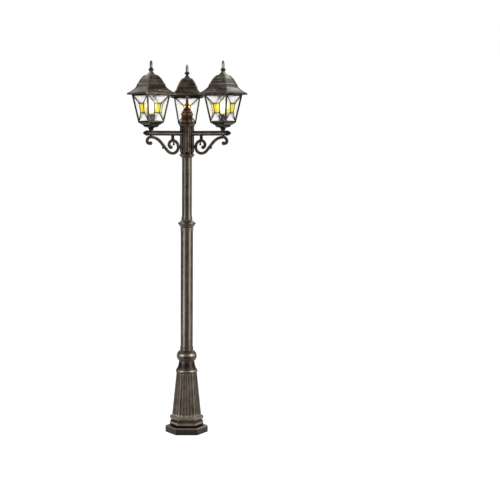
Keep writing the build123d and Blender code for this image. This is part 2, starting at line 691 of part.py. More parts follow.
def arm():
    """One arm along +X, with its bore, lantern pad, pointed end and holes for the scroll's pegs."""
    inner_end = HUB_CAVITY - LOCKNUT_THICKNESS - END_ROOM
    tube_end = LANTERN_REACH + ARM_OVERHANG
    tip = tube_end + ARM_TIP_LENGTH
    collar = ARM_RADIUS + ARM_TIP_COLLAR
    bend = (ARM_RADIUS * ARM_TIP_BEND[0], tube_end + ARM_TIP_LENGTH * ARM_TIP_BEND[1])
    body = turned(
        (0, inner_end),
        (ARM_SPIGOT_RADIUS, inner_end),
        (ARM_SPIGOT_RADIUS, ARM_SEAT),
        (ARM_RADIUS, ARM_SEAT),
        (ARM_RADIUS, tube_end - ARM_TIP_BEAD),
        ((collar, tube_end - ARM_TIP_BEAD / 2), (ARM_RADIUS, tube_end)),
        (bend, (ARM_RADIUS * ARM_TIP_END, tip - EDGE)),
        (0, tip),
    )
    body -= rod(ARM_BORE, inner_end, LANTERN_REACH + ARM_BORE)
    body = lying(body, arm_level)
    pad = Pos(LANTERN_REACH, 0, 0) * rod(ARM_PAD_RADIUS, arm_level, stem_foot)
    pipe_hole = Pos(LANTERN_REACH, 0, 0) * rod(STEM_PIPE_RADIUS + THREAD_ROOM, arm_level, stem_foot)
    body = body + (pad - lying(rod(ARM_BORE, 0, LANTERN_REACH + ARM_BORE), arm_level)) - pipe_hole
    underside = arm_level - ARM_RADIUS
    for reach in peg_reaches:
        hole = rod(SCROLL_PEG_RADIUS + SLIP, underside - PAST, underside + SCROLL_PEG_LENGTH + END_ROOM)
        body -= Pos(reach, 0, 0) * hole
    return body


# Centres of the scroll's two long curves, in the plane of an arm
loop_reach = RIB_CENTRE + RIB_RADIUS + SCROLL_LOOP_ROOM + SCROLL_LOOP
belly_level = arm_level - SCROLL_DROP
curl_reach = LANTERN_REACH + SCROLL_OUTER_SETOFF
curl_level = arm_level - ARM_RADIUS - RUNNING - SCROLL_WIDTH / 2
peg_reaches = (loop_reach, curl_reach)


def scroll_path():
    """Centre line of a scroll, from its outer eye to its inner eye, as (reach, level) in the XY plane."""
    across = curl_reach - loop_reach
    long_curve = SCROLL_OUTER_SWEEP * across
    belly_curve = SCROLL_BELLY * across
    sweep_level = curl_level - long_curve
    curl_centre = (curl_reach, curl_level - SCROLL_OUTER_CURL)
    outer_eye = (curl_reach + SCROLL_OUTER_CURL - SCROLL_OUTER_EYE, curl_centre[1])
    belly = (loop_reach, belly_level + belly_curve)
    up = belly[1] - sweep_level
    both = long_curve + belly_curve
    bank = math.degrees(math.atan2(across, up) - math.acos(both / math.hypot(across, up)))
    sweep_arc = CenterArc((curl_reach, sweep_level), long_curve, 90, bank)
    belly_arc = CenterArc(belly, belly_curve, bank - 90, -bank)
    loop_top = belly_level + 2 * SCROLL_LOOP
    loop_curl = (loop_reach, loop_top - SCROLL_LOOP_CURL)
    inner_eye = (loop_reach + SCROLL_LOOP_CURL - SCROLL_LOOP_EYE, loop_curl[1])
    return [
        CenterArc(outer_eye, SCROLL_OUTER_EYE, -SCROLL_OUTER_TURN, SCROLL_OUTER_TURN),
        CenterArc(curl_centre, SCROLL_OUTER_CURL, 0, 90),
        sweep_arc,
        Line(sweep_arc @ 1, belly_arc @ 0),
        belly_arc,
        CenterArc((loop_reach, belly_level + SCROLL_LOOP), SCROLL_LOOP, -90, -180),
        CenterArc(loop_curl, SCROLL_LOOP_CURL, 90, -90),
        CenterArc(inner_eye, SCROLL_LOOP_EYE, 0, -SCROLL_LOOP_TURN),
    ]


def scroll():
    """One scroll in the plane of the +X arm: rounded bar, eyes, lug to the hub, stem and pegs to the arm."""
    edges = scroll_path()
    path = Plane.XZ * Wire(edges)
    section = Plane(path @ 0, x_dir=(0, 1, 0), z_dir=path % 0)
    solid = sweep(section * RectangleRounded(SCROLL_THICKNESS, SCROLL_WIDTH, SCROLL_ROUND), path)
    half = SCROLL_THICKNESS / 2 + SCROLL_EYE_SWELL
    eye = rod(SCROLL_EYE_RADIUS, -half, half)
    eye = fillet(eye.edges(), SCROLL_ROUND)
    for end in (path @ 0, path @ 1):
        solid += Pos(end) * Rot(90, 0, 0) * eye
    run = edges[3]
    knuckle = run @ 0.5
    side = Vector(-1, 1, 0).normalized() * (-SCROLL_WIDTH / 2)
    solid += Pos(knuckle.X + side.X, 0, knuckle.Y + side.Y) * Sphere(SCROLL_KNUCKLE_RADIUS)
    loop_top = belly_level + 2 * SCROLL_LOOP
    bud_reach = loop_reach - SCROLL_BUD_RADIUS
    bud_level = loop_top - SCROLL_WIDTH / 2 - 2 * SCROLL_BUD_RADIUS
    solid += Pos(bud_reach, 0, 0) * rod(SCROLL_BUD_RADIUS * SCROLL_BUD_STALK, bud_level, loop_top)
    solid += Pos(bud_reach, 0, bud_level) * Sphere(SCROLL_BUD_RADIUS)
    underside = arm_level - ARM_RADIUS
    solid += Pos(loop_reach, 0, 0) * rod(SCROLL_LUG_RADIUS, loop_top, underside - RUNNING)
    for reach in peg_reaches:
        solid += Pos(reach, 0, 0) * rod(SCROLL_PEG_RADIUS, curl_level, underside + SCROLL_PEG_LENGTH)
    solid += lying(rod(SCROLL_LUG_RADIUS, lug_seat, loop_reach - SCROLL_LOOP), lug_level)
    solid += lying(rod(SCROLL_PEG_RADIUS, lug_seat - SCROLL_PEG_LENGTH, lug_seat), lug_level)
    return solid


def cage_screw_places():
    offset = CAGE_FOOT - CAGE_SCREW_INSET
    return [Pos(x, y, 0) for x in (-offset, offset) for y in (-offset, offset)]


screw_seat = pan_bowl_top + PAN_COVE_HEIGHT / 2


def lantern_base():
    """Funnel stem and square pan."""
    rim_foot = CAGE_FOOT - EDGE
    flare = (STEM_FOOT_RADIUS + STEM_TOP_RADIUS) / 2 - EDGE
    stem = turned(
        (0, stem_foot),
        (STEM_FOOT_RADIUS, stem_foot),
        ((flare, stem_foot + STEM_HEIGHT * STEM_FLARE_AT), (STEM_TOP_RADIUS, pan_foot)),
        (0, pan_foot),
    )
    step = PAN_BOWL + PAN_STEP
    cove = ((step + rim_foot) / 2, pan_bowl_top + PAN_COVE_HEIGHT * PAN_COVE_AT)
    pan = mitred(
        4,
        (0, pan_foot),
        (STEM_TOP_RADIUS, pan_foot),
        ((PAN_BOWL - 2 * EDGE, pan_foot + PAN_BOWL_HEIGHT * PAN_BOWL_AT), (PAN_BOWL, pan_bowl_top)),
        (step, pan_bowl_top),
        (cove, (rim_foot, pan_rim_foot)),
        (CAGE_FOOT, pan_rim_foot + EDGE / 2),
        (CAGE_FOOT, cage_foot),
        (0, cage_foot),
    )
    inner = CAGE_FOOT - PAN_WALL
    tray = mitred(
        4,
        (0, pan_floor),
        (PAN_BOWL, pan_floor),
        (inner - EDGE, pan_rim_foot),
        (inner, cage_foot),
        (0, cage_foot),
    )
    solid = stem + pan
    outside = solid
    solid -= tray
    for place in cage_screw_places():
        solid += (place * rod(CAGE_BOSS_RADIUS, pan_bowl_top, cage_foot)) & outside
    for place in cage_screw_places():
        solid -= place * rod(CAGE_SCREW_RADIUS + SLIP, pan_foot, cage_foot)
        solid -= place * rod(CAGE_SCREW_HEAD + SLIP, pan_foot, screw_seat + CAGE_SCREW_HEAD_HEIGHT)
    return solid - rod(STEM_PIPE_RADIUS + SLIP, stem_foot, pan_floor)


def cage_screws():
    head_top = screw_seat + CAGE_SCREW_HEAD_HEIGHT
    screw = rod(CAGE_SCREW_HEAD, screw_seat, head_top)
    screw += rod(CAGE_SCREW_RADIUS, head_top, cage_foot + CAGE_RAIL / 2)
    return [place * screw for place in cage_screw_places()]


def stem_pipe():
    return tube(STEM_PIPE_BORE, STEM_PIPE_RADIUS, stem_pipe_foot, stem_pipe_top)


def stem_nut():
    return hex_nut(STEM_NUT_ACROSS, STEM_PIPE_RADIUS + THREAD_ROOM, pan_floor, holder_foot)


def pane_half_width(height):
    """Half width of the cage's glass at a distance up the slope."""
    half = CAGE_FOOT + (CAGE_HEAD - CAGE_FOOT) * height / slope
    return half - CAGE_BAR + GLASS_BITE


def pane_outline(foot, head, grow):
    low = pane_half_width(foot) + grow
    high = pane_half_width(head) + grow
    return make_face(Polyline((-low, foot), (low, foot), (high, head), (-high, head), close=True))


pane_foot = (CAGE_RAIL + GLASS_ROOM) / math.cos(lean)
pane_head = slope - PANE_DROP


def four_sides(piece):
    return [Rot(0, 0, 90 * side) * piece for side in range(4)]


def cage():
    """Tapering square frame, slotted for panes that slide in from above, with studs for the roof."""
    outer = mitred(4, (0, cage_foot), (CAGE_FOOT, cage_foot), (CAGE_HEAD, cage_head), (0, cage_head))
    inner = mitred(
        4,
        (0, cage_foot),
        (CAGE_FOOT - CAGE_BAR, cage_foot),
        (CAGE_HEAD - CAGE_BAR, cage_head),
        (0, cage_head),
    )
    solid = outer - inner
    rail = CAGE_RAIL / math.cos(lean)
    window = pane_plane * pane_outline(rail, slope - rail, -GLASS_BITE)
    window = extrude(window, amount=4 * CAGE_BAR, both=True)
    slot = pane_plane * pane_outline(rail, slope + CAGE_RAIL, GLASS_ROOM)
    slot = extrude(slot, amount=GLASS_THICKNESS / 2 + GLASS_ROOM, both=True)
    for cut in four_sides(window):
        solid -= cut
    for place in cage_screw_places():
        lug = place * rod(CAGE_BOSS_RADIUS, cage_foot, cage_foot + CAGE_RAIL - EDGE)
        solid += lug & outer
        solid -= place * rod(CAGE_SCREW_RADIUS + THREAD_ROOM, cage_foot, cage_foot + CAGE_RAIL)
    lug_foot = cage_head - STUD_LUG_THICKNESS
    lug = rod(STUD_LUG_RADIUS, lug_foot, cage_head)
    lug_root = CAGE_HEAD - GLASS_INSET + GLASS_THICKNESS
    depth = stud_reach - lug_root
    web = Pos(-depth / 2, 0, cage_head - STUD_LUG_THICKNESS / 2)
    lug += web * Box(depth, 2 * STUD_LUG_RADIUS, STUD_LUG_THICKNESS)
    lug += rod(STUD_RADIUS, lug_foot, nut_seat + NUT_HEIGHT / 2)
    for side in (90, 270):
        solid += Rot(0, 0, side) * Pos(stud_reach, 0, 0) * lug
    for cut in four_sides(slot):
        solid -= cut
    return solid


def lead_lines():
    """Centre lines of the lead: the frame of the amber pane and a diagonal from each of its corners."""
    height = pane_head - pane_foot
    low = pane_foot + AMBER_FOOT * height
    high = pane_foot + AMBER_HEAD * height
    corners = []
    outer = []
    for level, end, share in ((low, pane_foot, AMBER_FOOT_SHARE), (high, pane_head, AMBER_HEAD_SHARE)):
        for side in (-1, 1):
            corners.append((side * share * pane_half_width(level), level))
            outer.append((side * pane_half_width(end), end))
    order = (0, 1, 3, 2, 0)
    frame = [Line(corners[a], corners[b]) for a, b in zip(order, order[1:])]
    diagonals = []
    for inner_end, outer_end in zip(corners, outer):
        reach = Vector(*outer_end) - Vector(*inner_end)
        diagonals.append(Line(inner_end, Vector(*inner_end) + reach * LEAD_PAST))
    return frame + diagonals


def lead_faces(width):
    faces = [trace(line, width) for line in lead_lines()]
    return faces[0].fuse(*faces[1:])


def glass_faces():
    """Faces of one pane between the lead cores: four clear pieces, and the amber one in their midst."""
    sheet = pane_outline(pane_foot, pane_head, 0)
    for line in lead_lines():
        sheet = sheet - trace(line, LEAD_CORE + GLASS_ROOM)
    pieces = sheet.faces()
    middle = Vector(0, (pane_foot + pane_head) / 2)
    amber = min(pieces, key=lambda face: (face.center() - middle).length)
    whole = [face for face in pieces if face.area > LEAD_WIDTH**2]
    clear = [face for face in whole if face is not amber]
    return clear, amber


def glazing(faces):
    """Glass pieces of all four sides, from the faces of one."""
    pieces = []
    for face in faces:
        pieces += four_sides(extrude(pane_plane * face, amount=GLASS_THICKNESS / 2, both=True))
    return pieces


def lead_strips():
    """Lead lattice of each pane: a core between the glass edges and a flange on both of its faces."""
    sheet = pane_outline(pane_foot, pane_head, 0)
    opening = pane_outline(pane_foot + LEAD_ROOM, slope - CAGE_RAIL - LEAD_ROOM, -GLASS_BITE - GLASS_ROOM)
    core = extrude(pane_plane * (lead_faces(LEAD_CORE) & sheet), amount=GLASS_THICKNESS / 2, both=True)
    skin = extrude(pane_plane * (lead_faces(LEAD_WIDTH) & opening), amount=LEAD_FLANGE)
    lift = pane_plane.z_dir * (GLASS_THICKNESS / 2)
    back = pane_plane.z_dir * (-GLASS_THICKNESS / 2 - LEAD_FLANGE)
    lattice = core + Pos(lift) * skin + Pos(back) * skin
    return four_sides(lattice)


def lampholder():
    skirt = HOLDER_HEIGHT * HOLDER_SKIRT_AT
    bore = CAP_RADIUS + RUNNING
    pipe = STEM_PIPE_RADIUS + THREAD_ROOM
    wire = LEAD_WIRE_RADIUS + SLIP
    pipe_end = stem_pipe_top + END_ROOM
    wire_end = lamp_lead_top + END_ROOM
    return turned(
        (pipe, holder_foot),
        (HOLDER_FOOT_RADIUS, holder_foot),
        ((HOLDER_RADIUS - 2 * EDGE, holder_foot + skirt / 2), (HOLDER_RADIUS, holder_foot + skirt)),
        (HOLDER_RADIUS, holder_top - EDGE),
        (HOLDER_RADIUS - EDGE, holder_top),
        (bore, holder_top),
        (bore, socket_floor),
        (0, socket_floor),
        (0, wire_end),
        (wire, wire_end),
        (wire, pipe_end),
        (pipe, pipe_end),
    )


def bulb_cap():
    contact = CAP_RADIUS * CAP_CONTACT
    taper_foot = cap_foot + CAP_TAPER_HEIGHT
    return turned(
        (0, cap_foot),
        (contact, cap_foot),
        (contact, cap_foot + CAP_CONTACT_HEIGHT),
        (CAP_RADIUS * CAP_TAPER, taper_foot),
        (CAP_RADIUS, taper_foot + CAP_CONTACT_HEIGHT),
        (CAP_RADIUS, cap_top),
        (0, cap_top),
    )


def bulb_glass():
    centre = cap_top + BULB_LENGTH - BULB_RADIUS
    joint = math.radians(BULB_JOINT)
    width, height = BULB_FLARE
    outlines = []
    for inset in (0, BULB_WALL):
        globe = BULB_RADIUS - inset
        neck = CAP_RADIUS - RUNNING - inset
        low = (globe * math.cos(joint), centre - globe * math.sin(joint))
        flare = (neck + (low[0] - neck) * width, cap_top + (low[1] - cap_top) * height)
        outlines.append([(neck, cap_top), (flare, low), ((globe, centre), (0, centre + globe))])
    solids = [turned((0, cap_top), *outline) for outline in outlines]
    return solids[0] - solids[1]


# Half width and height of the roof's flare where it is most hollow
flare_bend = (
    (EAVE + ROOF_FLARE) / 2 - EDGE,
    EAVE_LIP + (ROOF_FLARE_HEIGHT - EAVE_LIP) * ROOF_FLARE_AT,
)


def roof_side(stretch=1.0, grow=0.0):
    """Outline of the roof from the eave to the crown, as half width and level."""

    def at(half, height):
        return (half * stretch + grow, roof_seat + height)

    band = (ROOF_FLARE + ROOF_SHOULDER) / 2
    band_height = (ROOF_FLARE_HEIGHT + ROOF_SHOULDER_HEIGHT) / 2
    rise = (ROOF_SHOULDER_HEIGHT - ROOF_FLARE_HEIGHT) / (ROOF_FLARE - ROOF_SHOULDER)
    drop = ROOF_BAND_HEIGHT / 2 / rise
    dome_half = (ROOF_SHOULDER + ROOF_CROWN) / 2 + ROOF_DOME_SWELL
    dome_height = (ROOF_SHOULDER_HEIGHT + ROOF_CROWN_HEIGHT) / 2
    half = ROOF_BAND_HEIGHT / 2
    ease = EDGE / 2
    return [
        at(EAVE, EAVE_LIP),
        (at(*flare_bend), at(ROOF_FLARE, ROOF_FLARE_HEIGHT)),
        at(band + drop, band_height - half),
        at(band + drop + ROOF_BAND_SWELL, band_height - half + ease),
        at(band - drop + ROOF_BAND_SWELL, band_height + half - ease),
        at(band - drop, band_height + half),
        at(ROOF_SHOULDER, ROOF_SHOULDER_HEIGHT),
        (at(dome_half, dome_height), at(ROOF_CROWN, ROOF_CROWN_HEIGHT)),
    ]


def roof():
    """Hollow ogee roof of square plan with hip ribs, a seat that rests on the cage and two stud holes."""
    crown = roof_seat + ROOF_CROWN_HEIGHT
    cap_bend = ((ROOF_CAP + ROOF_TOP) / 2 - EDGE / 2, crown + (roof_top - crown) * ROOF_FLARE_AT)
    outer = mitred(
        4,
        (0, roof_seat),
        (EAVE, roof_seat),
        *roof_side(),
        (ROOF_CAP, crown),
        (cap_bend, (ROOF_TOP, roof_top)),
        (0, roof_top),
    )
    rib_side = roof_side(math.sqrt(2), HIP_SWELL)
    rib = slab([(0, rib_side[0][1]), *rib_side, (0, crown)], HIP_WIDTH / 2)
    solid = outer + Rot(0, 0, 45) * rib + Rot(0, 0, 135) * rib
    seat_inner = CAGE_HEAD - CAGE_BAR - SEAT_RIM / 2
    seat_outer = CAGE_HEAD + SEAT_RIM
    room_bend = (flare_bend[0] - 2 * ROOF_WALL, roof_seat + flare_bend[1] - ROOF_WALL)
    room = mitred(
        4,
        (0, roof_seat),
        (seat_inner, roof_seat),
        (seat_inner, roof_seat + SEAT_THICKNESS),
        (seat_outer - ROOF_WALL, roof_seat + SEAT_THICKNESS),
        (room_bend, (ROOF_FLARE - ROOF_WALL, roof_seat + ROOF_FLARE_HEIGHT)),
        (ROOF_SHOULDER - ROOF_WALL, roof_seat + ROOF_SHOULDER_HEIGHT),
        (ROOF_CROWN - ROOF_WALL, crown - 2 * ROOF_WALL),
        (0, crown - 2 * ROOF_WALL),
    )
    lip = EAVE - ROOF_WALL
    trough_top = roof_seat + EAVE_LIP
    trough = mitred(4, (0, roof_seat), (lip, roof_seat), (lip, trough_top - ROOF_WALL), (0, trough_top))
    keep = mitred(4, (0, roof_seat), (seat_outer, roof_seat), (seat_outer, trough_top), (0, trough_top))
    solid = solid - room - (trough - keep)
    for side in (90, 270):
        place = Rot(0, 0, side) * Pos(stud_reach, 0, 0)
        boss = place * rod(STUD_LUG_RADIUS, roof_seat, nut_seat)
        solid += boss & outer
        solid -= place * rod(NUT_RADIUS + NUT_POCKET_ROOM, nut_seat, nut_seat + 2 * NUT_HEIGHT)
        solid -= place * rod(STUD_RADIUS + RUNNING, roof_seat, nut_seat)
    return solid - rod(SPIRE_PEG_RADIUS + SLIP, roof_top - SPIRE_PEG_LENGTH - END_ROOM, roof_top)


def roof_finial():
    bead_top = roof_top + SPIRE_BEAD_HEIGHT
    tip = bead_top + SPIRE_HEIGHT
    diagonal = SPIRE_NECK_RADIUS * math.sqrt(0.5)
    return turned(
        (0, roof_top - SPIRE_PEG_LENGTH),
        (SPIRE_PEG_RADIUS, roof_top - SPIRE_PEG_LENGTH),
        (SPIRE_PEG_RADIUS, roof_top),
        (ROOF_TOP, roof_top),
        ((SPIRE_BEAD_RADIUS, roof_top + SPIRE_BEAD_HEIGHT / 2), (SPIRE_NECK_RADIUS, bead_top)),
        ((SPIRE_RADIUS, bead_top + SPIRE_HEIGHT * SPIRE_AT), (SPIRE_NECK_RADIUS, tip - SPIRE_NECK_RADIUS)),
        ((diagonal, tip - SPIRE_NECK_RADIUS + diagonal), (0, tip)),
    )


def roof_nuts():
    bore = STUD_RADIUS + RUNNING
    hollow = nut_seat + NUT_HEIGHT * NUT_DEPTH
    shoulder = nut_seat + NUT_HEIGHT * NUT_SHOULDER
    top = nut_seat + NUT_HEIGHT
    flat = bore / 2
    dome = (shoulder + top) / 2 + EDGE / 2
    nut = turned(
        (bore, nut_seat),
        (NUT_RADIUS, nut_seat),
        (NUT_RADIUS, shoulder),
        ((NUT_RADIUS - EDGE / 2, dome), (flat, top)),
        (0, top),
        (0, hollow),
        (bore, hollow),
    )
    return [Rot(0, 0, side) * Pos(stud_reach, 0, 0) * nut for side in (90, 270)]


def lamp_lead():
    """Lamp lead in the plane of the +X arm, from the terminal block to the lampholder."""
    route = FilletPolyline(
        (LEAD_WIRE_CIRCLE, 0, block_top),
        (LEAD_WIRE_CIRCLE, 0, arm_level),
        (LANTERN_REACH, 0, arm_level),
        (LANTERN_REACH, 0, lamp_lead_top),
        radius=(LEAD_WIRE_BEND, LEAD_WIRE_TURN),
    )
    section = Plane(route @ 0, z_dir=route % 0)
    return sweep(section * Circle(LEAD_WIRE_RADIUS), route)


def solids_of(piece):
    """All the solids of a piece or of a list of pieces."""
    items = piece if isinstance(piece, list) else [piece]
    return [solid for item in items for solid in item.solids()]


def write(name, piece):
    export_step(Compound(label=name, children=solids_of(piece)), f"parts/{name}.step")


clear_faces, amber_face = glass_faces()

POST_PIECES = {
    "base_pedestal": base_pedestal,
    "ground_plate": ground_plate,
    "base_screws": base_screws,
    "cable_grommet": cable_grommet,
    "lower_post": lower_post,
    "post_coupling": post_coupling,
    "upper_post": upper_post,
    "arm_hub": arm_hub,
    "arm_locknuts": arm_locknuts,
    "hub_finial": hub_finial,
    "set_screws": set_screws,
    "terminal_block": terminal_block,
    "mains_cable": mains_cable,
}
# Pieces in the plane of the +X arm
ARM_PIECES = {"arm": arm(), "scroll": scroll(), "lamp_lead": lamp_lead()}
# Pieces about the axis of a lantern
LANTERN_PIECES = {
    "lantern_base": lantern_base(),
    "stem_pipe": stem_pipe(),
    "cage": cage(),
    "clear_glass": glazing(clear_faces),
    "amber_glass": glazing([amber_face]),
    "lead_strips": lead_strips(),
    "lampholder": lampholder(),
    "bulb_cap": bulb_cap(),
    "bulb_glass": bulb_glass(),
    "roof": roof(),
    "roof_finial": roof_finial(),
    "roof_nuts": roof_nuts(),
}
# Fasteners of all three lanterns, one node for each kind
SHARED_FASTENERS = {"stem_nuts": stem_nut(), "cage_screws": cage_screws()}

os.makedirs("parts", exist_ok=True)
for name, make in POST_PIECES.items():
    write(name, make())
for side, angle in ARM_ANGLES.items():
    for name, piece in ARM_PIECES.items():
        write(f"{name}_{side}", [Rot(0, 0, angle) * solid for solid in solids_of(piece)])
    for name, piece in LANTERN_PIECES.items():
        write(f"{name}_{side}", [at_lantern(solid, side) for solid in solids_of(piece)])
for name, piece in SHARED_FASTENERS.items():
    copies = [at_lantern(solid, side) for side in ARM_NAMES for solid in solids_of(piece)]
    write(name, copies)
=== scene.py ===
import math

import bpy
from mathutils import Matrix, Vector


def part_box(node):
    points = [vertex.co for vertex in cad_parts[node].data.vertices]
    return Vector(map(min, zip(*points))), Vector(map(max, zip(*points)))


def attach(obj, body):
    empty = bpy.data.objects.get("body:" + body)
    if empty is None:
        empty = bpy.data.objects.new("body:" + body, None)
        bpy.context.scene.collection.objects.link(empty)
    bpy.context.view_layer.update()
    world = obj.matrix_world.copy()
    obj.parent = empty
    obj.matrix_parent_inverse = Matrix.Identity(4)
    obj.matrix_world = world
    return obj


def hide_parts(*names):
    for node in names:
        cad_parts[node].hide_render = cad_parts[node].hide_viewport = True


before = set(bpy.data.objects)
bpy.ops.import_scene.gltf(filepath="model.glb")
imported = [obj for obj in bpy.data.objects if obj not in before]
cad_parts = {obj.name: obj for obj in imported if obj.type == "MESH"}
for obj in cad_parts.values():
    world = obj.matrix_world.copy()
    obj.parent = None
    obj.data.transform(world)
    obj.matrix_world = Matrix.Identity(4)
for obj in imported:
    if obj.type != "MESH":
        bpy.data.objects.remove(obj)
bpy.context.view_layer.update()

bl_info = {
    "name": "Three-lantern garden post",
    "version": (1, 0, 0),
    "blender": (4, 5, 0),
    "location": "View3D > Sidebar > Garden post",
    "description": "Finishes, small fasteners and studio for a garden post with three leaded lanterns",
    "category": "Object",
}

# Direction of each arm, and turn of its lantern on the stem, in degrees
ARMS = {"left": 210, "right": 330, "rear": 90}
TURNS = {"left": 5.85, "right": -5.85, "rear": 0}
POST_BODY = "post"

# Levels read from the frame, in metres
PLINTH_FOOT, PEDESTAL_TOP = (corner.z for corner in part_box("base_pedestal"))
COUPLING_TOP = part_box("post_coupling")[1].z
HUB_FOOT, HUB_TOP = (corner.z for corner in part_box("arm_hub"))
CAGE_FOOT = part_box("cage_rear")[0].z
PANE_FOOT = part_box("clear_glass_rear")[0].z
AMBER_FOOT, AMBER_HEAD = (corner.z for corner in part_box("amber_glass_rear"))
ROOF_SEAT, ROOF_TOP = (corner.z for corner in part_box("roof_rear"))

# Mouldings of the pedestal, the coupling and the hub: levels in metres, and numbers of flutes and ribs
PLINTH_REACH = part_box("base_pedestal")[1].y  # axis to the middle of one of the plinth's six sides
PLINTH_EDGE = 0.036
FOOT_SWELL = 0.057
FOOT_RING = 0.0945
COLUMN_FOOT = 0.100
COLUMN_TOP = 0.343
COLUMN_MIDDLE = (COLUMN_FOOT + COLUMN_TOP) / 2
COLUMN_HALF = (COLUMN_TOP - COLUMN_FOOT) / 2
COLUMN_RING = 0.357
NECK = 0.388
BULGE = 0.449
COUPLING_LIP = COUPLING_TOP - 0.036
FLUTE_COUNT = 16
HUB_RIBS = 6

# Bands of rubbed, brighter finish and of darker finish, some of which are painted highlight and painted
# shade: level and half width, in metres
PLINTH_RIM = ((PLINTH_EDGE, 0.004),)
# Rubbed mouldings, their bands set where the light catches them, as painted highlights
PEDESTAL_RUB_AND_HIGHLIGHT_BANDS = ((FOOT_SWELL, 0.009), (FOOT_RING, 0.018), (COLUMN_RING, 0.006), (BULGE, 0.01))
# Painted shade darkening the plinth towards the ground, and dark patina in the neck
PEDESTAL_SHADE_AND_PATINA_BANDS = ((PLINTH_FOOT, 2.8 * PLINTH_EDGE), (NECK, 0.04))
COUPLING_BEADS = ((COUPLING_LIP - 0.029, 0.006), (COUPLING_LIP - 0.04, 0.006))
HUB_RINGS = ((HUB_FOOT + 0.0165, 0.006), (HUB_TOP - 0.015, 0.007))
FINIAL_EDGES = tuple((HUB_TOP + rise, 0.006) for rise in (0.007, 0.047, 0.063, 0.102))
CAGE_RIM = ((PANE_FOOT, 0.01),)
# Rubbed ledge and band of a roof, brightened as painted highlights
ROOF_RUB_AND_HIGHLIGHT_BANDS = ((ROOF_SEAT + 0.0595, 0.004), (ROOF_SEAT + 0.109, 0.004))
# Painted shade at the eave, under the ledge and at the peak of a roof
ROOF_SHADE_BANDS = ((ROOF_SEAT + 0.004, 0.01), (ROOF_SEAT + 0.046, 0.014), (ROOF_TOP, 0.02))
# Darker band on the ring at the foot of a roof finial
SPIRE_DARK_BANDS = ((ROOF_TOP + 0.008, 0.026),)
# Levels between which the finial's spike turns bright
FINIAL_SPIKE = (HUB_TOP + 0.1, HUB_TOP + 0.14)

# Panes of a lantern, in metres: half widths of the cage at its foot and head, its height, and the amber
# pane's corners as half width and distance up the slope
CAGE_HALF_FOOT = 0.0525
CAGE_HALF_HEAD = 0.078
CAGE_RISE = 0.152
LEAD_INSET = 0.0019  # outer face of the lead inside that of the cage
AMBER_HALF_WIDTH = 0.021
AMBER_CORNERS = ((0.0156, 0.0508), (0.0213, 0.1048))


def lantern_axis(side):
    """Point on the ground under the middle of a lantern."""
    low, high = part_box(f"lampholder_{side}")
    return Vector(((low.x + high.x) / 2, (low.y + high.y) / 2, 0))


def lantern_turn(side):
    return math.radians(ARMS[side] + TURNS[side])


def lantern_matrix(side):
    """Place of a lantern's own axes in the frame."""
    return Matrix.Translation(lantern_axis(side)) @ Matrix.Rotation(lantern_turn(side), 4, "Z")


# What a user can change


def colour_property(name, description, default):
    return bpy.props.FloatVectorProperty(name=name, description=description, subtype="COLOR", default=default)


def size_property(name, description, default):
    return bpy.props.FloatProperty(name=name, description=description, unit="LENGTH", default=default)


class GardenPostFinish(bpy.types.PropertyGroup):
    """Colours of the post's finishes."""

    bronze_dark: colour_property("Bronze, dark", "Darker patches of the bronze", (0.052, 0.041, 0.031))
    bronze_light: colour_property("Bronze, light", "Bronze on open faces", (0.12, 0.1, 0.079))
    # its colour also serves as painted shade on the plinth and roofs
    bronze_wash_and_shade: colour_property("Bronze, wash", "Dark wash left in hollows", (0.026, 0.022, 0.017))
    # its colour also serves as painted highlight on the mouldings of the pedestal and roofs
    bronze_rubbed_and_highlight: colour_property(
        "Bronze, rubbed", "Bronze where the finish is rubbed back on edges", (0.34, 0.295, 0.23)
    )
    tube_dark: colour_property("Tube, dark", "Darker tone of the two post tubes", (0.068, 0.056, 0.043))
    tube_light: colour_property("Tube, light", "Lighter tone of the two post tubes", (0.118, 0.1, 0.078))
    roof_dark: colour_property("Roof, dark", "Darker tone of the lantern roofs", (0.027, 0.021, 0.014))
    roof_light: colour_property("Roof, light", "Lighter tone of the lantern roofs", (0.145, 0.12, 0.084))
    copper_dark: colour_property(
        "Copper, dark", "Warm tone in the hollows of the hub and arms", (0.022, 0.014, 0.01)
    )
    copper_light: colour_property("Copper, light", "Warm tone on the faces of the hub", (0.1, 0.073, 0.058))
    arm_light: colour_property("Arm, light", "Warm tone on the faces of the arms", (0.072, 0.052, 0.041))
    finial_dark: colour_property("Finial, dark", "Darker tone of the finial on the hub", (0.03, 0.015, 0.007))
    finial_light: colour_property(
        "Finial, light", "Lighter tone of the finial on the hub", (0.16, 0.085, 0.046)
    )
    finial_rubbed: colour_property(
        "Finial, rubbed", "Bright copper on the edges and spike of the finial on the hub", (0.42, 0.23, 0.11)
    )
    cage_dark: colour_property(
        "Cage, dark", "Darker tone of the cages, pans and scrolls", (0.009, 0.008, 0.0068)
    )
    cage_light: colour_property("Cage, light", "Lighter tone of the cages and pans", (0.04, 0.033, 0.024))
    spire_dark: colour_property("Spire, dark", "Darker tone of the roof finials", (0.1, 0.094, 0.086))
    spire_light: colour_property("Spire, light", "Lighter tone of the roof finials", (0.66, 0.64, 0.61))
    # Painted lamp light in the middle of the amber panes
    amber_middle: colour_property("Amber, middle", "Amber glass in the middle of a pane", (0.9, 0.83, 0.13))
    amber_edge: colour_property("Amber, edge", "Amber glass near the lead", (0.84, 0.5, 0.04))
    lamp_light: colour_property("Lamp light", "Light of the lit bulbs", (1.0, 0.94, 0.82))
    lamp_neck: colour_property("Lamp neck", "Light at the neck and tip of the lit bulbs", (0.8, 0.62, 0.32))
    lamp_strength: bpy.props.FloatProperty(
        name="Lamp strength",
        description="Strength of the light of the bulbs",
        default=1.0,
        min=0.0,
    )


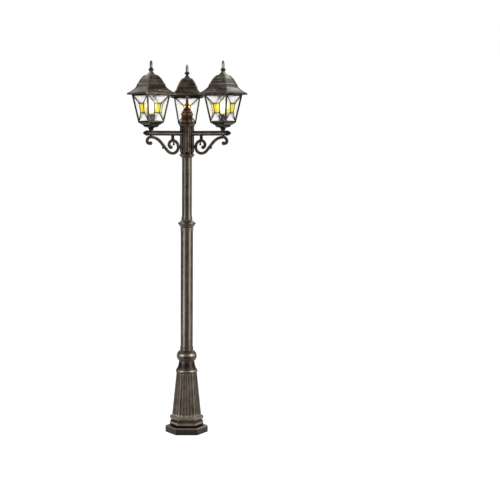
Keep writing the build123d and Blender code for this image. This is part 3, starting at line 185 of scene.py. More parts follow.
class GardenPostSizes(bpy.types.PropertyGroup):
    """Sizes of the small pieces."""

    solder_radius: size_property("Solder joint", "Radius of a solder joint on the lead", 0.0042)
    solder_height: size_property("Solder height", "How far a solder joint stands up from the lead", 0.0011)
    screw_radius: size_property("Socket screw", "Radius of a socket screw", 0.003)
    socket_across: size_property("Socket", "Width across the flats of a socket", 0.003)
    socket_depth: size_property("Socket depth", "Depth of a socket", 0.003)
    nut_radius: size_property("Cap nut", "Radius to the corners of a cap nut", 0.006)
    nut_height: size_property("Cap nut height", "Height of a cap nut with its dome", 0.01)
    pan_screw_head: size_property(
        "Pan screw head", "Radius of the head of a screw under a lantern's pan", 0.0035
    )
    ring_radius: size_property(
        "Shade ring", "Outer radius of the ring on a lampholder, without its ribs", 0.0245
    )
    ring_height: size_property("Shade ring height", "Height of the ring on a lampholder", 0.009)


class GardenPostStudio(bpy.types.PropertyGroup):
    """Camera and light."""

    camera_distance: size_property("Camera distance", "Camera to the axis of the post", 7.5)
    camera_height: size_property("Camera height", "Height of the camera above the ground", 1.606)
    camera_pitch: bpy.props.FloatProperty(
        name="Camera pitch",
        description="How far the camera looks down, in degrees",
        default=3.178,
    )
    camera_roll: bpy.props.FloatProperty(
        name="Camera roll",
        description="Turn of the camera about its own axis, in degrees",
        default=-0.08,
    )
    camera_lens: bpy.props.FloatProperty(
        name="Lens",
        description="Focal length on a 36 mm sensor, in millimetres",
        default=94.88,
    )
    shift: bpy.props.FloatVectorProperty(
        name="Shift",
        description="Shift of the view as a share of the frame",
        size=2,
        default=(0.126, -0.0502),
    )
    strip_power: bpy.props.FloatProperty(
        name="Strip light",
        description="Full power of a tall softbox at the sides, of which each has its share",
        default=55.0,
        unit="POWER",
    )
    kicker_power: bpy.props.FloatProperty(
        name="Light behind",
        description="Full power of a softbox behind the post, of which each has its share",
        default=11.0,
        unit="POWER",
    )
    ambient: bpy.props.FloatProperty(
        name="Ambient",
        description="Strength of the surrounding light on matt surfaces",
        default=0.35,
        min=0.0,
    )


def finish():
    return bpy.context.scene.garden_post_finish


def sizes():
    return bpy.context.scene.garden_post_sizes


def studio():
    return bpy.context.scene.garden_post_studio


# Shader building blocks

# Places of the Mix node's sockets for colours
MIX_SHARE, MIX_FIRST, MIX_SECOND = 0, 6, 7
MIX_RESULT = 2


def plug(tree, socket, value):
    """Links a socket or sets a number or colour on it."""
    if isinstance(value, bpy.types.NodeSocket):
        tree.links.new(value, socket)
    elif hasattr(socket.default_value, "__len__") and len(socket.default_value) == 4:
        socket.default_value = (*value[:3], 1.0)
    else:
        socket.default_value = value


def feed(tree, node, values):
    """Links or sets several sockets of a node, by their names or places."""
    for title, value in values.items():
        plug(tree, node.inputs[title], value)


def calc(tree, operation, *values, clamp=False):
    """Result of one Math node."""
    made = tree.nodes.new("ShaderNodeMath")
    made.operation = operation
    made.use_clamp = clamp
    for socket, value in zip(made.inputs, values):
        plug(tree, socket, value)
    return made.outputs[0]


def tint(tree, share, first, second):
    """Mix of two colours."""
    made = tree.nodes.new("ShaderNodeMix")
    made.data_type = "RGBA"
    feed(tree, made, {MIX_SHARE: share, MIX_FIRST: first, MIX_SECOND: second})
    return made.outputs[MIX_RESULT]


def ease(tree, value, low, high, start=0.0, end=1.0):
    """Value spread smoothly from one range to another."""
    made = tree.nodes.new("ShaderNodeMapRange")
    made.interpolation_type = "SMOOTHSTEP"
    feed(tree, made, {"Value": value, "From Min": low, "From Max": high, "To Min": start, "To Max": end})
    return made.outputs["Result"]


def noise(tree, vector, scale, detail):
    made = tree.nodes.new("ShaderNodeTexNoise")
    feed(tree, made, {"Vector": vector, "Scale": scale, "Detail": detail, "Roughness": 0.55})
    return made.outputs["Fac"]


def stretched(tree, vector, scale):
    """Coordinates scaled along each axis."""
    made = tree.nodes.new("ShaderNodeMapping")
    feed(tree, made, {"Vector": vector, "Scale": scale})
    return made.outputs["Vector"]


def place(tree):
    """Object coordinates, which are the frame's own."""
    return tree.nodes.new("ShaderNodeTexCoord").outputs["Object"]


def lantern_place(tree, side):
    """Coordinates about a lantern's axis, turned with it."""
    made = tree.nodes.new("ShaderNodeMapping")
    made.vector_type = "TEXTURE"
    turn = (0, 0, lantern_turn(side))
    feed(tree, made, {"Vector": place(tree), "Location": lantern_axis(side), "Rotation": turn})
    return made.outputs["Vector"]


def parts_of(tree, vector):
    made = tree.nodes.new("ShaderNodeSeparateXYZ")
    tree.links.new(vector, made.inputs[0])
    return made.outputs


def height_in(tree):
    """Height above the ground."""
    return parts_of(tree, place(tree))["Z"]


def distance_from(tree, height, level):
    return calc(tree, "ABSOLUTE", calc(tree, "SUBTRACT", height, level))


def near_levels(tree, height, bands):
    """Mask that is 1 at each level and fades out at its half width."""
    mask = None
    for level, half in bands:
        near = ease(tree, distance_from(tree, height, level), low=0.0, high=half, start=1.0, end=0.0)
        mask = near if mask is None else calc(tree, "MAXIMUM", mask, near)
    return mask


def waves_round(tree, at, count):
    """Cosine wave that repeats a number of times round the post."""
    turn = calc(tree, "ARCTAN2", at["Y"], at["X"])
    return calc(tree, "COSINE", calc(tree, "MULTIPLY", turn, count))


def new_group(name, inputs, outputs):
    """Empty node group with its sockets, and the sockets of its two end nodes."""
    tree = bpy.data.node_groups.new(name, "ShaderNodeTree")
    for title, kind, value in inputs:
        socket = tree.interface.new_socket(name=title, in_out="INPUT", socket_type=kind)
        if value is not None:
            socket.default_value = value
    for title, kind in outputs:
        tree.interface.new_socket(name=title, in_out="OUTPUT", socket_type=kind)
    return tree, tree.nodes.new("NodeGroupInput").outputs, tree.nodes.new("NodeGroupOutput").inputs


VECTOR = "NodeSocketVector"
FLOAT = "NodeSocketFloat"
COLOUR = "NodeSocketColor"
GREY = (0.5, 0.5, 0.5, 1.0)
UPRIGHT_STREAKS = (1.0, 1.0, 0.03)  # fine streaks along the post
LEVEL_STREAKS = (0.02, 0.02, 0.25)  # broader streaks round a roof


def aged_bronze_group():
    """Brushed antique bronze paint: mottled tone, streaks of the brush and rubbed edges, which on some
    mouldings are painted highlights.
    """
    tree, given, put = new_group(
        "AgedBronze",
        [
            ("Vector", VECTOR, None),
            ("Dark", COLOUR, GREY),
            ("Light", COLOUR, GREY),
            ("Rubbed", COLOUR, GREY),
            ("Rub", FLOAT, 0.0),
            ("Streak", FLOAT, 0.5),
            ("Stretch", VECTOR, UPRIGHT_STREAKS),
            ("Matt", FLOAT, 0.25),
            ("Metal", FLOAT, 0.85),
        ],
        [("Color", COLOUR), ("Roughness", FLOAT), ("Metallic", FLOAT), ("Height", FLOAT)],
    )
    vector = given["Vector"]
    mottle = noise(tree, vector, scale=26.0, detail=4.0)
    grain = noise(tree, vector, scale=620.0, detail=2.0)
    streak = noise(tree, stretched(tree, vector, given["Stretch"]), scale=330.0, detail=2.0)
    tone = calc(tree, "MULTIPLY_ADD", mottle, 0.7, calc(tree, "MULTIPLY", grain, 0.3))
    tone = calc(tree, "MULTIPLY_ADD", calc(tree, "SUBTRACT", streak, 0.5), given["Streak"], tone)
    body = tint(tree, ease(tree, tone, low=0.32, high=0.7), given["Dark"], given["Light"])
    patchy = noise(tree, vector, scale=85.0, detail=3.0)
    patchy = ease(tree, patchy, low=0.25, high=0.6, start=0.6)
    rub = calc(tree, "MULTIPLY", given["Rub"], patchy, clamp=True)
    rough = calc(tree, "MULTIPLY_ADD", mottle, 0.22, given["Matt"])
    plug(tree, put["Color"], tint(tree, rub, body, given["Rubbed"]))
    plug(tree, put["Roughness"], calc(tree, "MULTIPLY_ADD", rub, -0.08, rough))
    plug(tree, put["Metallic"], calc(tree, "MULTIPLY_ADD", rub, -0.25, given["Metal"]))
    plug(tree, put["Height"], calc(tree, "MULTIPLY_ADD", grain, 0.5, mottle))


def mottled_group():
    """Slight unevenness of tone, gloss and surface, for the plain small pieces."""
    tree, given, put = new_group(
        "Mottled",
        [("Vector", VECTOR, None), ("Dark", COLOUR, GREY), ("Light", COLOUR, GREY), ("Scale", FLOAT, 60.0)],
        [("Color", COLOUR), ("Roughness", FLOAT), ("Height", FLOAT)],
    )
    spots = noise(tree, given["Vector"], given["Scale"], detail=4.0)
    grain = noise(tree, given["Vector"], scale=900.0, detail=1.0)
    tone = calc(tree, "MULTIPLY_ADD", spots, 0.75, calc(tree, "MULTIPLY", grain, 0.25))
    mixed = tint(tree, ease(tree, tone, low=0.3, high=0.7), given["Dark"], given["Light"])
    plug(tree, put["Color"], mixed)
    plug(tree, put["Roughness"], ease(tree, tone, low=0.2, high=0.8, start=0.35, end=0.6))
    plug(tree, put["Height"], tone)


def rippled_glass_group():
    """Rolled glass: slow ripples, small seeds and an uneven polish."""
    tree, given, put = new_group(
        "RippledGlass",
        [("Vector", VECTOR, None)],
        [("Ripple", FLOAT), ("Roughness", FLOAT), ("Cloud", FLOAT)],
    )
    ripple = noise(tree, given["Vector"], scale=55.0, detail=2.0)
    seeds = tree.nodes.new("ShaderNodeTexVoronoi")
    feed(tree, seeds, {"Vector": given["Vector"], "Scale": 120.0})
    dimple = ease(tree, seeds.outputs["Distance"], low=0.0, high=0.45)
    plug(tree, put["Ripple"], calc(tree, "MULTIPLY_ADD", dimple, 0.4, ripple))
    plug(tree, put["Roughness"], ease(tree, ripple, low=0.25, high=0.75, start=0.24, end=0.36))
    cloud = noise(tree, given["Vector"], scale=24.0, detail=4.0)
    plug(tree, put["Cloud"], ease(tree, cloud, low=0.3, high=0.7))


def use_group(tree, name, vector, **values):
    """Places a node group and sets its inputs."""
    made = tree.nodes.new("ShaderNodeGroup")
    made.node_tree = bpy.data.node_groups[name]
    feed(tree, made, {"Vector": vector, **values})
    return made.outputs


def new_material(name):
    """New material with its tree and its shader."""
    made = bpy.data.materials.new(name)
    made.use_nodes = True
    return made, made.node_tree, made.node_tree.nodes["Principled BSDF"]


def bump(tree, shader, height, strength, distance):
    made = tree.nodes.new("ShaderNodeBump")
    feed(tree, made, {"Strength": strength, "Distance": distance, "Height": height})
    plug(tree, shader.inputs["Normal"], made.outputs["Normal"])


# Finishes


def bronze(
    name,
    rub,
    dark=None,
    light=None,
    *,
    rubbed=None,
    wash_and_shade=None,
    streak=0.5,
    stretch=UPRIGHT_STREAKS,
    matt=0.25,
    metallic=0.85,
    relief=0.12,
):
    """Brushed bronze paint on metal.

    rub(tree) gives the mask of its rubbed edges, which on some mouldings are painted highlights, and the
    second mask that of its dark patina and painted shade. matt is a number, or a function of the tree that
    gives one.
    """
    made, tree, shader = new_material(name)
    look = finish()
    dark = dark or look.bronze_dark
    light = light or look.bronze_light
    if wash_and_shade:
        # painted shade, and dark patina in the neck, darken the tones here
        wash_and_shade_share = wash_and_shade(tree)
        dark = tint(tree, wash_and_shade_share, dark, look.bronze_wash_and_shade)
        light = tint(tree, wash_and_shade_share, light, look.bronze_wash_and_shade)
    out = use_group(
        tree,
        "AgedBronze",
        place(tree),
        Dark=dark,
        Light=light,
        Rubbed=rubbed or look.bronze_rubbed_and_highlight,
        Rub=rub(tree),
        Streak=streak,
        Stretch=stretch,
        Matt=matt(tree) if callable(matt) else matt,
        Metal=metallic,
    )
    feed(
        tree,
        shader,
        {"Base Color": out["Color"], "Metallic": out["Metallic"], "Roughness": out["Roughness"]},
    )
    bump(tree, shader, out["Height"], strength=relief, distance=0.0008)
    return made


def plain_rub(tree):
    """Rubbing in loose patches."""
    patches = noise(tree, place(tree), scale=14.0, detail=2.0)
    return ease(tree, patches, low=0.55, high=0.8, end=0.12)


def plinth_rim(tree, at):
    """Mask of the upper edge of the six-sided plinth."""
    across = calc(tree, "ABSOLUTE", at["X"])
    ahead = calc(tree, "ABSOLUTE", at["Y"])
    turn = math.radians(30)
    slanted = calc(tree, "MULTIPLY", ahead, math.sin(turn))
    slanted = calc(tree, "MULTIPLY_ADD", across, math.cos(turn), slanted)
    reach = calc(tree, "MAXIMUM", ahead, slanted)
    outer = ease(tree, reach, low=PLINTH_REACH - 0.007, high=PLINTH_REACH - 0.003)
    return calc(tree, "MULTIPLY", outer, near_levels(tree, at["Z"], PLINTH_RIM))


def pedestal_rub_and_highlight(tree):
    """Rubbed rim, rubbed mouldings that are also painted highlights, and rubbed ridges between the flutes."""
    at = parts_of(tree, place(tree))
    rings = near_levels(tree, at["Z"], PEDESTAL_RUB_AND_HIGHLIGHT_BANDS)
    rings = calc(tree, "MAXIMUM", rings, plinth_rim(tree, at))
    ridges = ease(tree, waves_round(tree, at, FLUTE_COUNT), low=-0.55, high=-1.0, end=0.05)
    on_column = calc(tree, "LESS_THAN", distance_from(tree, at["Z"], COLUMN_MIDDLE), COLUMN_HALF - 0.004)
    return calc(tree, "MAXIMUM", rings, calc(tree, "MULTIPLY", ridges, on_column))


def pedestal_matt(tree):
    """Duller on the fluted column than on the mouldings."""
    away = distance_from(tree, height_in(tree), COLUMN_MIDDLE)
    return ease(tree, away, low=COLUMN_HALF - 0.012, high=COLUMN_HALF, start=0.42, end=0.33)


def pedestal_shade_and_patina(tree):
    """Painted shade on the plinth, darker towards the ground, and dark patina in the concave neck."""
    return near_levels(tree, height_in(tree), PEDESTAL_SHADE_AND_PATINA_BANDS)


def coupling_rub(tree):
    """Rubbed beads of the coupling."""
    return calc(tree, "MULTIPLY", near_levels(tree, height_in(tree), COUPLING_BEADS), 0.4)


def hub_rub(tree):
    """Rubbed fronts of the ribs and rubbed rings."""
    at = parts_of(tree, place(tree))
    rings = calc(tree, "MULTIPLY", near_levels(tree, at["Z"], HUB_RINGS), 0.12)
    ribs = ease(tree, waves_round(tree, at, HUB_RIBS), low=-0.2, high=-1.0, end=0.04)
    return calc(tree, "MAXIMUM", rings, ribs)


def finial_rub(tree):
    """Rubbed steps and spike of the finial on the hub."""
    height = height_in(tree)
    edges = calc(tree, "MULTIPLY", near_levels(tree, height, FINIAL_EDGES), 0.6)
    return calc(tree, "MAXIMUM", edges, ease(tree, height, *FINIAL_SPIKE, end=0.6))


def spire_darkening(tree):
    """Darker on the ring at the foot of a roof finial."""
    return near_levels(tree, height_in(tree), SPIRE_DARK_BANDS)


def roof_painted_shade(tree):
    """Painted shade at the eave, under the ledge and at the peak of a roof."""
    return calc(tree, "MULTIPLY", near_levels(tree, height_in(tree), ROOF_SHADE_BANDS), 0.7)


def corner_distance(tree, vector):
    """Distance from the nearest diagonal plane of a square lantern, and height."""
    at = parts_of(tree, vector)
    across = calc(tree, "SUBTRACT", calc(tree, "ABSOLUTE", at["X"]), calc(tree, "ABSOLUTE", at["Y"]))
    return calc(tree, "MULTIPLY", calc(tree, "ABSOLUTE", across), math.sqrt(0.5)), at["Z"]


def roof_rub_and_highlight(side):
    def rub(tree):
        """Rubbed hips of a roof, and its rubbed ledge and band, which are also painted highlights."""
        away, height = corner_distance(tree, lantern_place(tree, side))
        hips = ease(tree, away, low=0.002, high=0.006, start=0.45, end=0.0)
        rings = calc(tree, "MULTIPLY", near_levels(tree, height, ROOF_RUB_AND_HIGHLIGHT_BANDS), 0.3)
        return calc(tree, "MAXIMUM", hips, rings)

    return rub


def cage_rub(side):
    def rub(tree):
        """Rubbed corners and rim of a cage or pan."""
        away, height = corner_distance(tree, lantern_place(tree, side))
        corners = ease(tree, away, low=0.001, high=0.004, start=0.06, end=0.0)
        rim = calc(tree, "MULTIPLY", near_levels(tree, height, CAGE_RIM), 0.05)
        return calc(tree, "MAXIMUM", corners, rim)

    return rub


def mottled(name, dark, light, metallic=0.0, scale=60.0):
    """Plain finish with slight unevenness."""
    made, tree, shader = new_material(name)
    out = use_group(tree, "Mottled", place(tree), Dark=dark, Light=light, Scale=scale)
    feed(tree, shader, {"Base Color": out["Color"], "Metallic": metallic, "Roughness": out["Roughness"]})
    bump(tree, shader, out["Height"], strength=0.25, distance=0.0003)
    return made


GLASS_IOR = 1.2  # below that of real glass, as the photographed panes mirror next to nothing
# Strength of the glow painted into the amber glass as the lamp's light through it
PAINTED_AMBER_GLOW = 0.15
# Shares of a bulb's height at which the warm tone of its neck ends and that of its tip begins
BULB_NECK = 0.45
BULB_TIP = 0.7


def rolled_glass(name):
    """New glass material with its tree, its shader and the outputs of its ripples."""
    made, tree, shader = new_material(name)
    out = use_group(tree, "RippledGlass", place(tree))
    feed(tree, shader, {"Transmission Weight": 1.0, "IOR": GLASS_IOR, "Roughness": out["Roughness"]})
    return made, tree, shader, out


def clear_glass():
    made, tree, shader, out = rolled_glass("rolled_clear_glass")
    pale = tint(tree, out["Cloud"], (1.0, 0.985, 0.95), (1.0, 1.0, 1.0))
    plug(tree, shader.inputs["Base Color"], pale)
    bump(tree, shader, out["Ripple"], strength=0.006, distance=0.001)
    return made


def amber_glass(side):
    """Amber glass with a painted glow of the lamp: yellow through the middle, deeper orange towards the lead.
    """
    made, tree, shader, out = rolled_glass(f"rolled_amber_glass_{side}")
    look = finish()
    at = parts_of(tree, lantern_place(tree, side))
    along = calc(tree, "MINIMUM", calc(tree, "ABSOLUTE", at["X"]), calc(tree, "ABSOLUTE", at["Y"]))
    up = distance_from(tree, at["Z"], (AMBER_FOOT + AMBER_HEAD) / 2)
    half_height = (AMBER_HEAD - AMBER_FOOT) / 2
    edge = calc(
        tree,
        "MAXIMUM",
        calc(tree, "DIVIDE", along, AMBER_HALF_WIDTH),
        calc(tree, "DIVIDE", up, half_height),
    )
    edge = calc(tree, "MULTIPLY_ADD", out["Cloud"], 0.35, edge)
    colour = tint(tree, ease(tree, edge, low=0.6, high=1.35), look.amber_middle, look.amber_edge)
    # Painted glow of the lamp's light through the amber
    feed(tree, shader, {"Base Color": colour, "Emission Color": colour, "Emission Strength": PAINTED_AMBER_GLOW})
    bump(tree, shader, out["Ripple"], strength=0.01, distance=0.001)
    return made


def lit_bulb():
    """Opal bulb, lit: whiter over the middle, warmer towards its neck and tip."""
    made, tree, shader = new_material("lit_opal_bulb")
    look = finish()
    low, high = (corner.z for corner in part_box("bulb_glass_rear"))
    height = height_in(tree)
    foot = ease(tree, height, low, low + (high - low) * BULB_NECK)
    tip = ease(tree, height, low + (high - low) * BULB_TIP, high, start=1.0, end=0.55)
    warm = tint(tree, calc(tree, "MULTIPLY", foot, tip), look.lamp_neck, look.lamp_light)
    cloud = noise(tree, place(tree), scale=40.0, detail=2.0)
    colour = tint(tree, calc(tree, "MULTIPLY", cloud, 0.25), warm, (1.0, 1.0, 1.0))
    feed(tree, shader, {"Base Color": colour, "Roughness": 0.25})
    feed(tree, shader, {"Emission Color": colour, "Emission Strength": look.lamp_strength})
    return made


def dress(node, material):
    """Gives a node of the frame one material."""
    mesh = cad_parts[node].data
    mesh.materials.clear()
    mesh.materials.append(material)


def finish_post(look):
    """Bronze of the pedestal, tubes and coupling, and copper of the hub and its finial."""
    dress(
        "base_pedestal",
        bronze("bronze_pedestal", pedestal_rub_and_highlight, wash_and_shade=pedestal_shade_and_patina, matt=pedestal_matt, metallic=1.0),
    )
    tube_tone = (look.tube_dark, look.tube_light)
    tube = bronze("bronze_tube", plain_rub, *tube_tone, streak=0.9, relief=0.03)
    dress("lower_post", tube)
    dress("upper_post", tube)
    dress("post_coupling", bronze("bronze_coupling", coupling_rub, *tube_tone, relief=0.05))
    dress("arm_hub", bronze("copper_hub", hub_rub, look.copper_dark, look.copper_light))
    finial_tone = (look.finial_dark, look.finial_light)
    dress("hub_finial", bronze("copper_finial", finial_rub, *finial_tone, rubbed=look.finial_rubbed))


def finish_arms(look):
    """Copper of the arms and dark bronze of the scrolls."""
    arm = bronze("copper_arm", plain_rub, look.copper_dark, look.arm_light, streak=0.2)
    scroll_tone = (look.cage_dark, look.bronze_dark)
    scroll = bronze("bronze_scroll", plain_rub, *scroll_tone, streak=0.2, matt=0.4, metallic=1.0)
    for side in ARMS:
        dress(f"arm_{side}", arm)
        dress(f"scroll_{side}", scroll)


def finish_lanterns(look):
    """Bronze, glass and lead of the lanterns, and their lamps."""
    cage_tone = (look.cage_dark, look.cage_light)
    roof_tone = (look.roof_dark, look.roof_light)
    alike = {
        "roof_finial": bronze("bronze_spire", plain_rub, look.spire_dark, look.spire_light, wash_and_shade=spire_darkening),
        "roof_nuts": mottled("nut_brass", (0.3, 0.25, 0.17), (0.55, 0.49, 0.37), metallic=1.0, scale=140.0),
        "clear_glass": clear_glass(),
        "lead_strips": mottled(
            "dull_lead", (0.006, 0.006, 0.006), (0.02, 0.019, 0.018), metallic=0.3, scale=200.0
        ),
        "lampholder": mottled("dark_lampholder", (0.01, 0.008, 0.006), (0.032, 0.024, 0.017)),
        "bulb_cap": mottled(
            "bulb_cap_metal", (0.4, 0.39, 0.36), (0.62, 0.6, 0.55), metallic=1.0, scale=120.0
        ),
        "bulb_glass": lit_bulb(),
    }
    for side in ARMS:
        for piece, material in alike.items():
            dress(f"{piece}_{side}", material)
        dress(f"lantern_base_{side}", bronze(f"bronze_pan_{side}", cage_rub(side), *cage_tone, metallic=1.0))
        dress(f"cage_{side}", bronze(f"bronze_cage_{side}", cage_rub(side), *cage_tone, metallic=1.0))
        roof = bronze(
            f"bronze_roof_{side}",
            roof_rub_and_highlight(side),
            *roof_tone,
            wash_and_shade=roof_painted_shade,
            streak=1.3,
            stretch=LEVEL_STREAKS,
            relief=0.05,
        )
        dress(f"roof_{side}", roof)
        dress(f"amber_glass_{side}", amber_glass(side))


def finish_fittings():
    """Steel fixings, cables, grommet and terminal block."""
    steel = mottled("zinc_plated_steel", (0.32, 0.32, 0.31), (0.58, 0.57, 0.54), metallic=0.9, scale=80.0)
    cable = mottled("cable_sheath", (0.015, 0.015, 0.015), (0.035, 0.035, 0.035), scale=30.0)
    for node in ("ground_plate", "base_screws", "set_screws", "arm_locknuts", "stem_nuts", "cage_screws"):
        dress(node, steel)
    for side in ARMS:
        dress(f"stem_pipe_{side}", steel)
        dress(f"lamp_lead_{side}", cable)
    dress("mains_cable", cable)
    dress("cable_grommet", mottled("grommet_rubber", (0.012, 0.012, 0.012), (0.03, 0.03, 0.03)))
    dress("terminal_block", mottled("terminal_block_plastic", (0.6, 0.58, 0.53), (0.75, 0.73, 0.68)))


class GARDENPOST_OT_finishes(bpy.types.Operator):
    """Gives every piece of the post its finish"""

    bl_idname = "garden_post.finishes"
    bl_label = "Finish the post"

    def execute(self, context):
        aged_bronze_group()
        mottled_group()
        rippled_glass_group()
        finish_post(finish())
        finish_arms(finish())
        finish_lanterns(finish())
        finish_fittings()
        return {"FINISHED"}


# Modelling helpers


def start_modelling():
    """Object mode with nothing selected."""
    if bpy.context.object and bpy.context.object.mode != "OBJECT":
        bpy.ops.object.mode_set(mode="OBJECT")
    bpy.ops.object.select_all(action="DESELECT")


def select_faces(test):
    """Edit mode with only the faces selected that pass a test of centre and normal.

    The first call starts in vertex mode and leaves all edges between these faces selected too. It is
    made for the grub screws: their sides are bevelled as well, and their socket comes out as a peg.
    """
    bpy.ops.object.mode_set(mode="OBJECT")
    mesh = bpy.context.object.data
    for face in mesh.polygons:
        face.select = test(face.center, face.normal)
    for edge in mesh.edges:
        edge.select = False
    for vertex in mesh.vertices:
        vertex.select = False
    bpy.ops.object.mode_set(mode="EDIT")
    bpy.ops.mesh.select_mode(type="FACE")
    bpy.ops.object.mode_set(mode="OBJECT")
    for face in mesh.polygons:
        face.select = test(face.center, face.normal)
    bpy.ops.object.mode_set(mode="EDIT")


def tidy_mesh(angle):
    """Merges doubles, turns the faces outwards and smooths edges below an angle, on the active object."""
    bpy.ops.object.mode_set(mode="EDIT")
    bpy.ops.mesh.select_all(action="SELECT")
    bpy.ops.mesh.remove_doubles(threshold=1e-6)
    bpy.ops.mesh.normals_make_consistent(inside=False)
    bpy.ops.object.mode_set(mode="OBJECT")
    bpy.ops.object.shade_smooth_by_angle(angle=math.radians(angle))


def settle(obj):
    """Moves the place of an object into its mesh."""
    obj.data.transform(obj.matrix_world)
    obj.matrix_world = Matrix.Identity(4)


def join_to(piece, other):
    """Joins a second object to a piece."""
    other.select_set(True)
    piece.select_set(True)
    bpy.context.view_layer.objects.active = piece
    bpy.ops.object.join()


def copies_of(pattern, name, places):
    """One object of copies of a modelled pattern, and the pattern removed."""
    made = []
    for matrix in places:
        copy = pattern.copy()
        copy.data = pattern.data.copy()
        bpy.context.scene.collection.objects.link(copy)
        copy.matrix_world = matrix
        settle(copy)
        made.append(copy)
    bpy.data.objects.remove(pattern)
    start_modelling()
    for copy in made:
        copy.select_set(True)
    joined = made[0]
    bpy.context.view_layer.objects.active = joined
    if len(made) > 1:
        bpy.ops.object.join()
    joined.name = name
    joined.data.name = name
    return joined


def mount(obj, body, slot, material, *nodes):
    """Puts a finished piece on its body, with its finish and the nodes that it stands for."""
    obj.data.materials.clear()
    obj.data.materials.append(material)
    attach(obj, body)
    if nodes:
        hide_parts(*nodes)


def carve(piece, cutter):
    """Cuts one object out of another and removes it."""
    cut = piece.modifiers.new("cut", "BOOLEAN")
    cut.operation = "DIFFERENCE"
    cut.object = cutter
    start_modelling()
    bpy.context.view_layer.objects.active = piece
    piece.select_set(True)
    bpy.ops.object.modifier_apply(modifier=cut.name)
    bpy.data.objects.remove(cutter)


def bevelled_rod(radius, foot, top, sides, bevel):
    """Upright rod with eased rims."""
    start_modelling()
    bpy.ops.mesh.primitive_cylinder_add(
        vertices=sides, radius=radius, depth=top - foot, location=(0, 0, (top + foot) / 2)
    )
    made = bpy.context.object
    settle(made)
    select_faces(lambda centre, normal: abs(normal.z) > 0.9)
    bpy.ops.mesh.bevel(offset=bevel, segments=2, affect="EDGES")
    bpy.ops.object.mode_set(mode="OBJECT")
    return made


def flat_dome(radius, height, sides, foot=0.0):
    """Upper half of a ball, closed below, pressed to a height and lifted to its foot."""
    start_modelling()
    bpy.ops.mesh.primitive_uv_sphere_add(segments=sides, ring_count=12, radius=radius)
    bpy.ops.object.mode_set(mode="EDIT")
    bpy.ops.mesh.select_all(action="SELECT")
    bpy.ops.mesh.bisect(plane_co=(0, 0, 0), plane_no=(0, 0, 1), clear_inner=True, use_fill=True)
    bpy.ops.mesh.select_all(action="SELECT")
    bpy.ops.transform.resize(value=(1, 1, height / radius))
    bpy.ops.transform.translate(value=(0, 0, foot))
    bpy.ops.object.mode_set(mode="OBJECT")
    return bpy.context.object


# Small pieces

HEX_SIDES = 6
ROD_SIDES = 32
SHANK_SIDES = 24
DOME_SIDES = 24
SOLDER_SIDES = 20
SCREW_BEVEL = 0.0004

GRUB_ANGLES = (30, 150)
GRUB_LENGTH = 0.008
PLINTH_SCREW_LENGTH = 0.011
# Level and outer end of each pair of grub screws
GRUB_PLACES = (
    (PEDESTAL_TOP - 0.052, 0.0432),
    (COUPLING_LIP, 0.0362),
    (HUB_FOOT + 0.016, 0.0362),
    (HUB_TOP - 0.015, 0.031),
)


def socket_screw(length):
    """Headless screw along -Z with a six-sided socket in its upper end."""
    size = sizes()
    screw = bevelled_rod(size.screw_radius, -length, 0, ROD_SIDES, SCREW_BEVEL)
    start_modelling()
    bpy.ops.mesh.primitive_cylinder_add(
        vertices=HEX_SIDES, radius=size.socket_across / math.sqrt(3), depth=2 * size.socket_depth
    )
    carve(screw, bpy.context.object)
    tidy_mesh(angle=30)
    return screw


def outwards(angle, reach, level):
    """Place of a screw that points at the post's axis from a direction."""
    turn = Matrix.Rotation(math.radians(angle), 4, "Z")
    return turn @ Matrix.Translation((reach, 0, level)) @ Matrix.Rotation(math.radians(90), 4, "Y")


class GARDENPOST_OT_socket_screws(bpy.types.Operator):
    """Makes the socket screws of the post and of its plinth"""

    bl_idname = "garden_post.socket_screws"
    bl_label = "Socket screws"

    def execute(self, context):
        steel = bpy.data.materials["zinc_plated_steel"]
        places = [outwards(angle, reach, level) for level, reach in GRUB_PLACES for angle in GRUB_ANGLES]
        grubs = copies_of(socket_screw(GRUB_LENGTH), "grub_screws", places)
        mount(grubs, POST_BODY, "zinc_steel", steel, "set_screws")
        low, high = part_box("base_screws")
        places = [outwards(angle, high.y, (low.z + high.z) / 2) for angle in ARMS.values()]
        plinth = copies_of(socket_screw(PLINTH_SCREW_LENGTH), "plinth_screws", places)
        mount(plinth, POST_BODY, "zinc_steel", steel, "base_screws")
        return {"FINISHED"}


NUT_REACH = 0.0825  # lantern axis to a cap nut
NUT_LIFT = 0.016  # foot of a cap nut above the roof's seat
NUT_COLLAR = 0.42  # share of a cap nut's height that is six-sided
NUT_DOME = 0.8  # radius of its dome, as a share of the nut's
NUT_BEVEL = 0.0005


def cap_nut():
    """Six-sided nut with a domed cap, standing on the ground plane."""
    size = sizes()
    collar = size.nut_height * NUT_COLLAR
    nut = bevelled_rod(size.nut_radius, 0, collar, HEX_SIDES, NUT_BEVEL)
    dome = flat_dome(size.nut_radius * NUT_DOME, size.nut_height - collar, DOME_SIDES, foot=collar)
    join_to(nut, dome)
    tidy_mesh(angle=35)
    return nut


class GARDENPOST_OT_cap_nuts(bpy.types.Operator):
    """Makes the two cap nuts that hold each roof"""

    bl_idname = "garden_post.cap_nuts"
    bl_label = "Cap nuts"

    def execute(self, context):
        for side in ARMS:
            places = [
                lantern_matrix(side) @ Matrix.Translation((0, reach, ROOF_SEAT + NUT_LIFT))
                for reach in (-NUT_REACH, NUT_REACH)
            ]
            nuts = copies_of(cap_nut(), f"cap_nuts_{side}", places)
            mount(nuts, f"roof_{side}", "brass", bpy.data.materials["nut_brass"], f"roof_nuts_{side}")
        return {"FINISHED"}


PAN_SCREW_REACH = 0.0425  # lantern axis to a pan screw, along each side
PAN_SCREW_HEAD = 0.003  # height of its head
PAN_SCREW_BEVEL = 0.0008
# Shares of the head's radius
SHANK_RADIUS = 0.57
SLOT_LENGTH = 3
SLOT_WIDTH = 0.3
# Shares of the head's height
SHANK_START = 0.8
SLOT_HEIGHT = 0.7


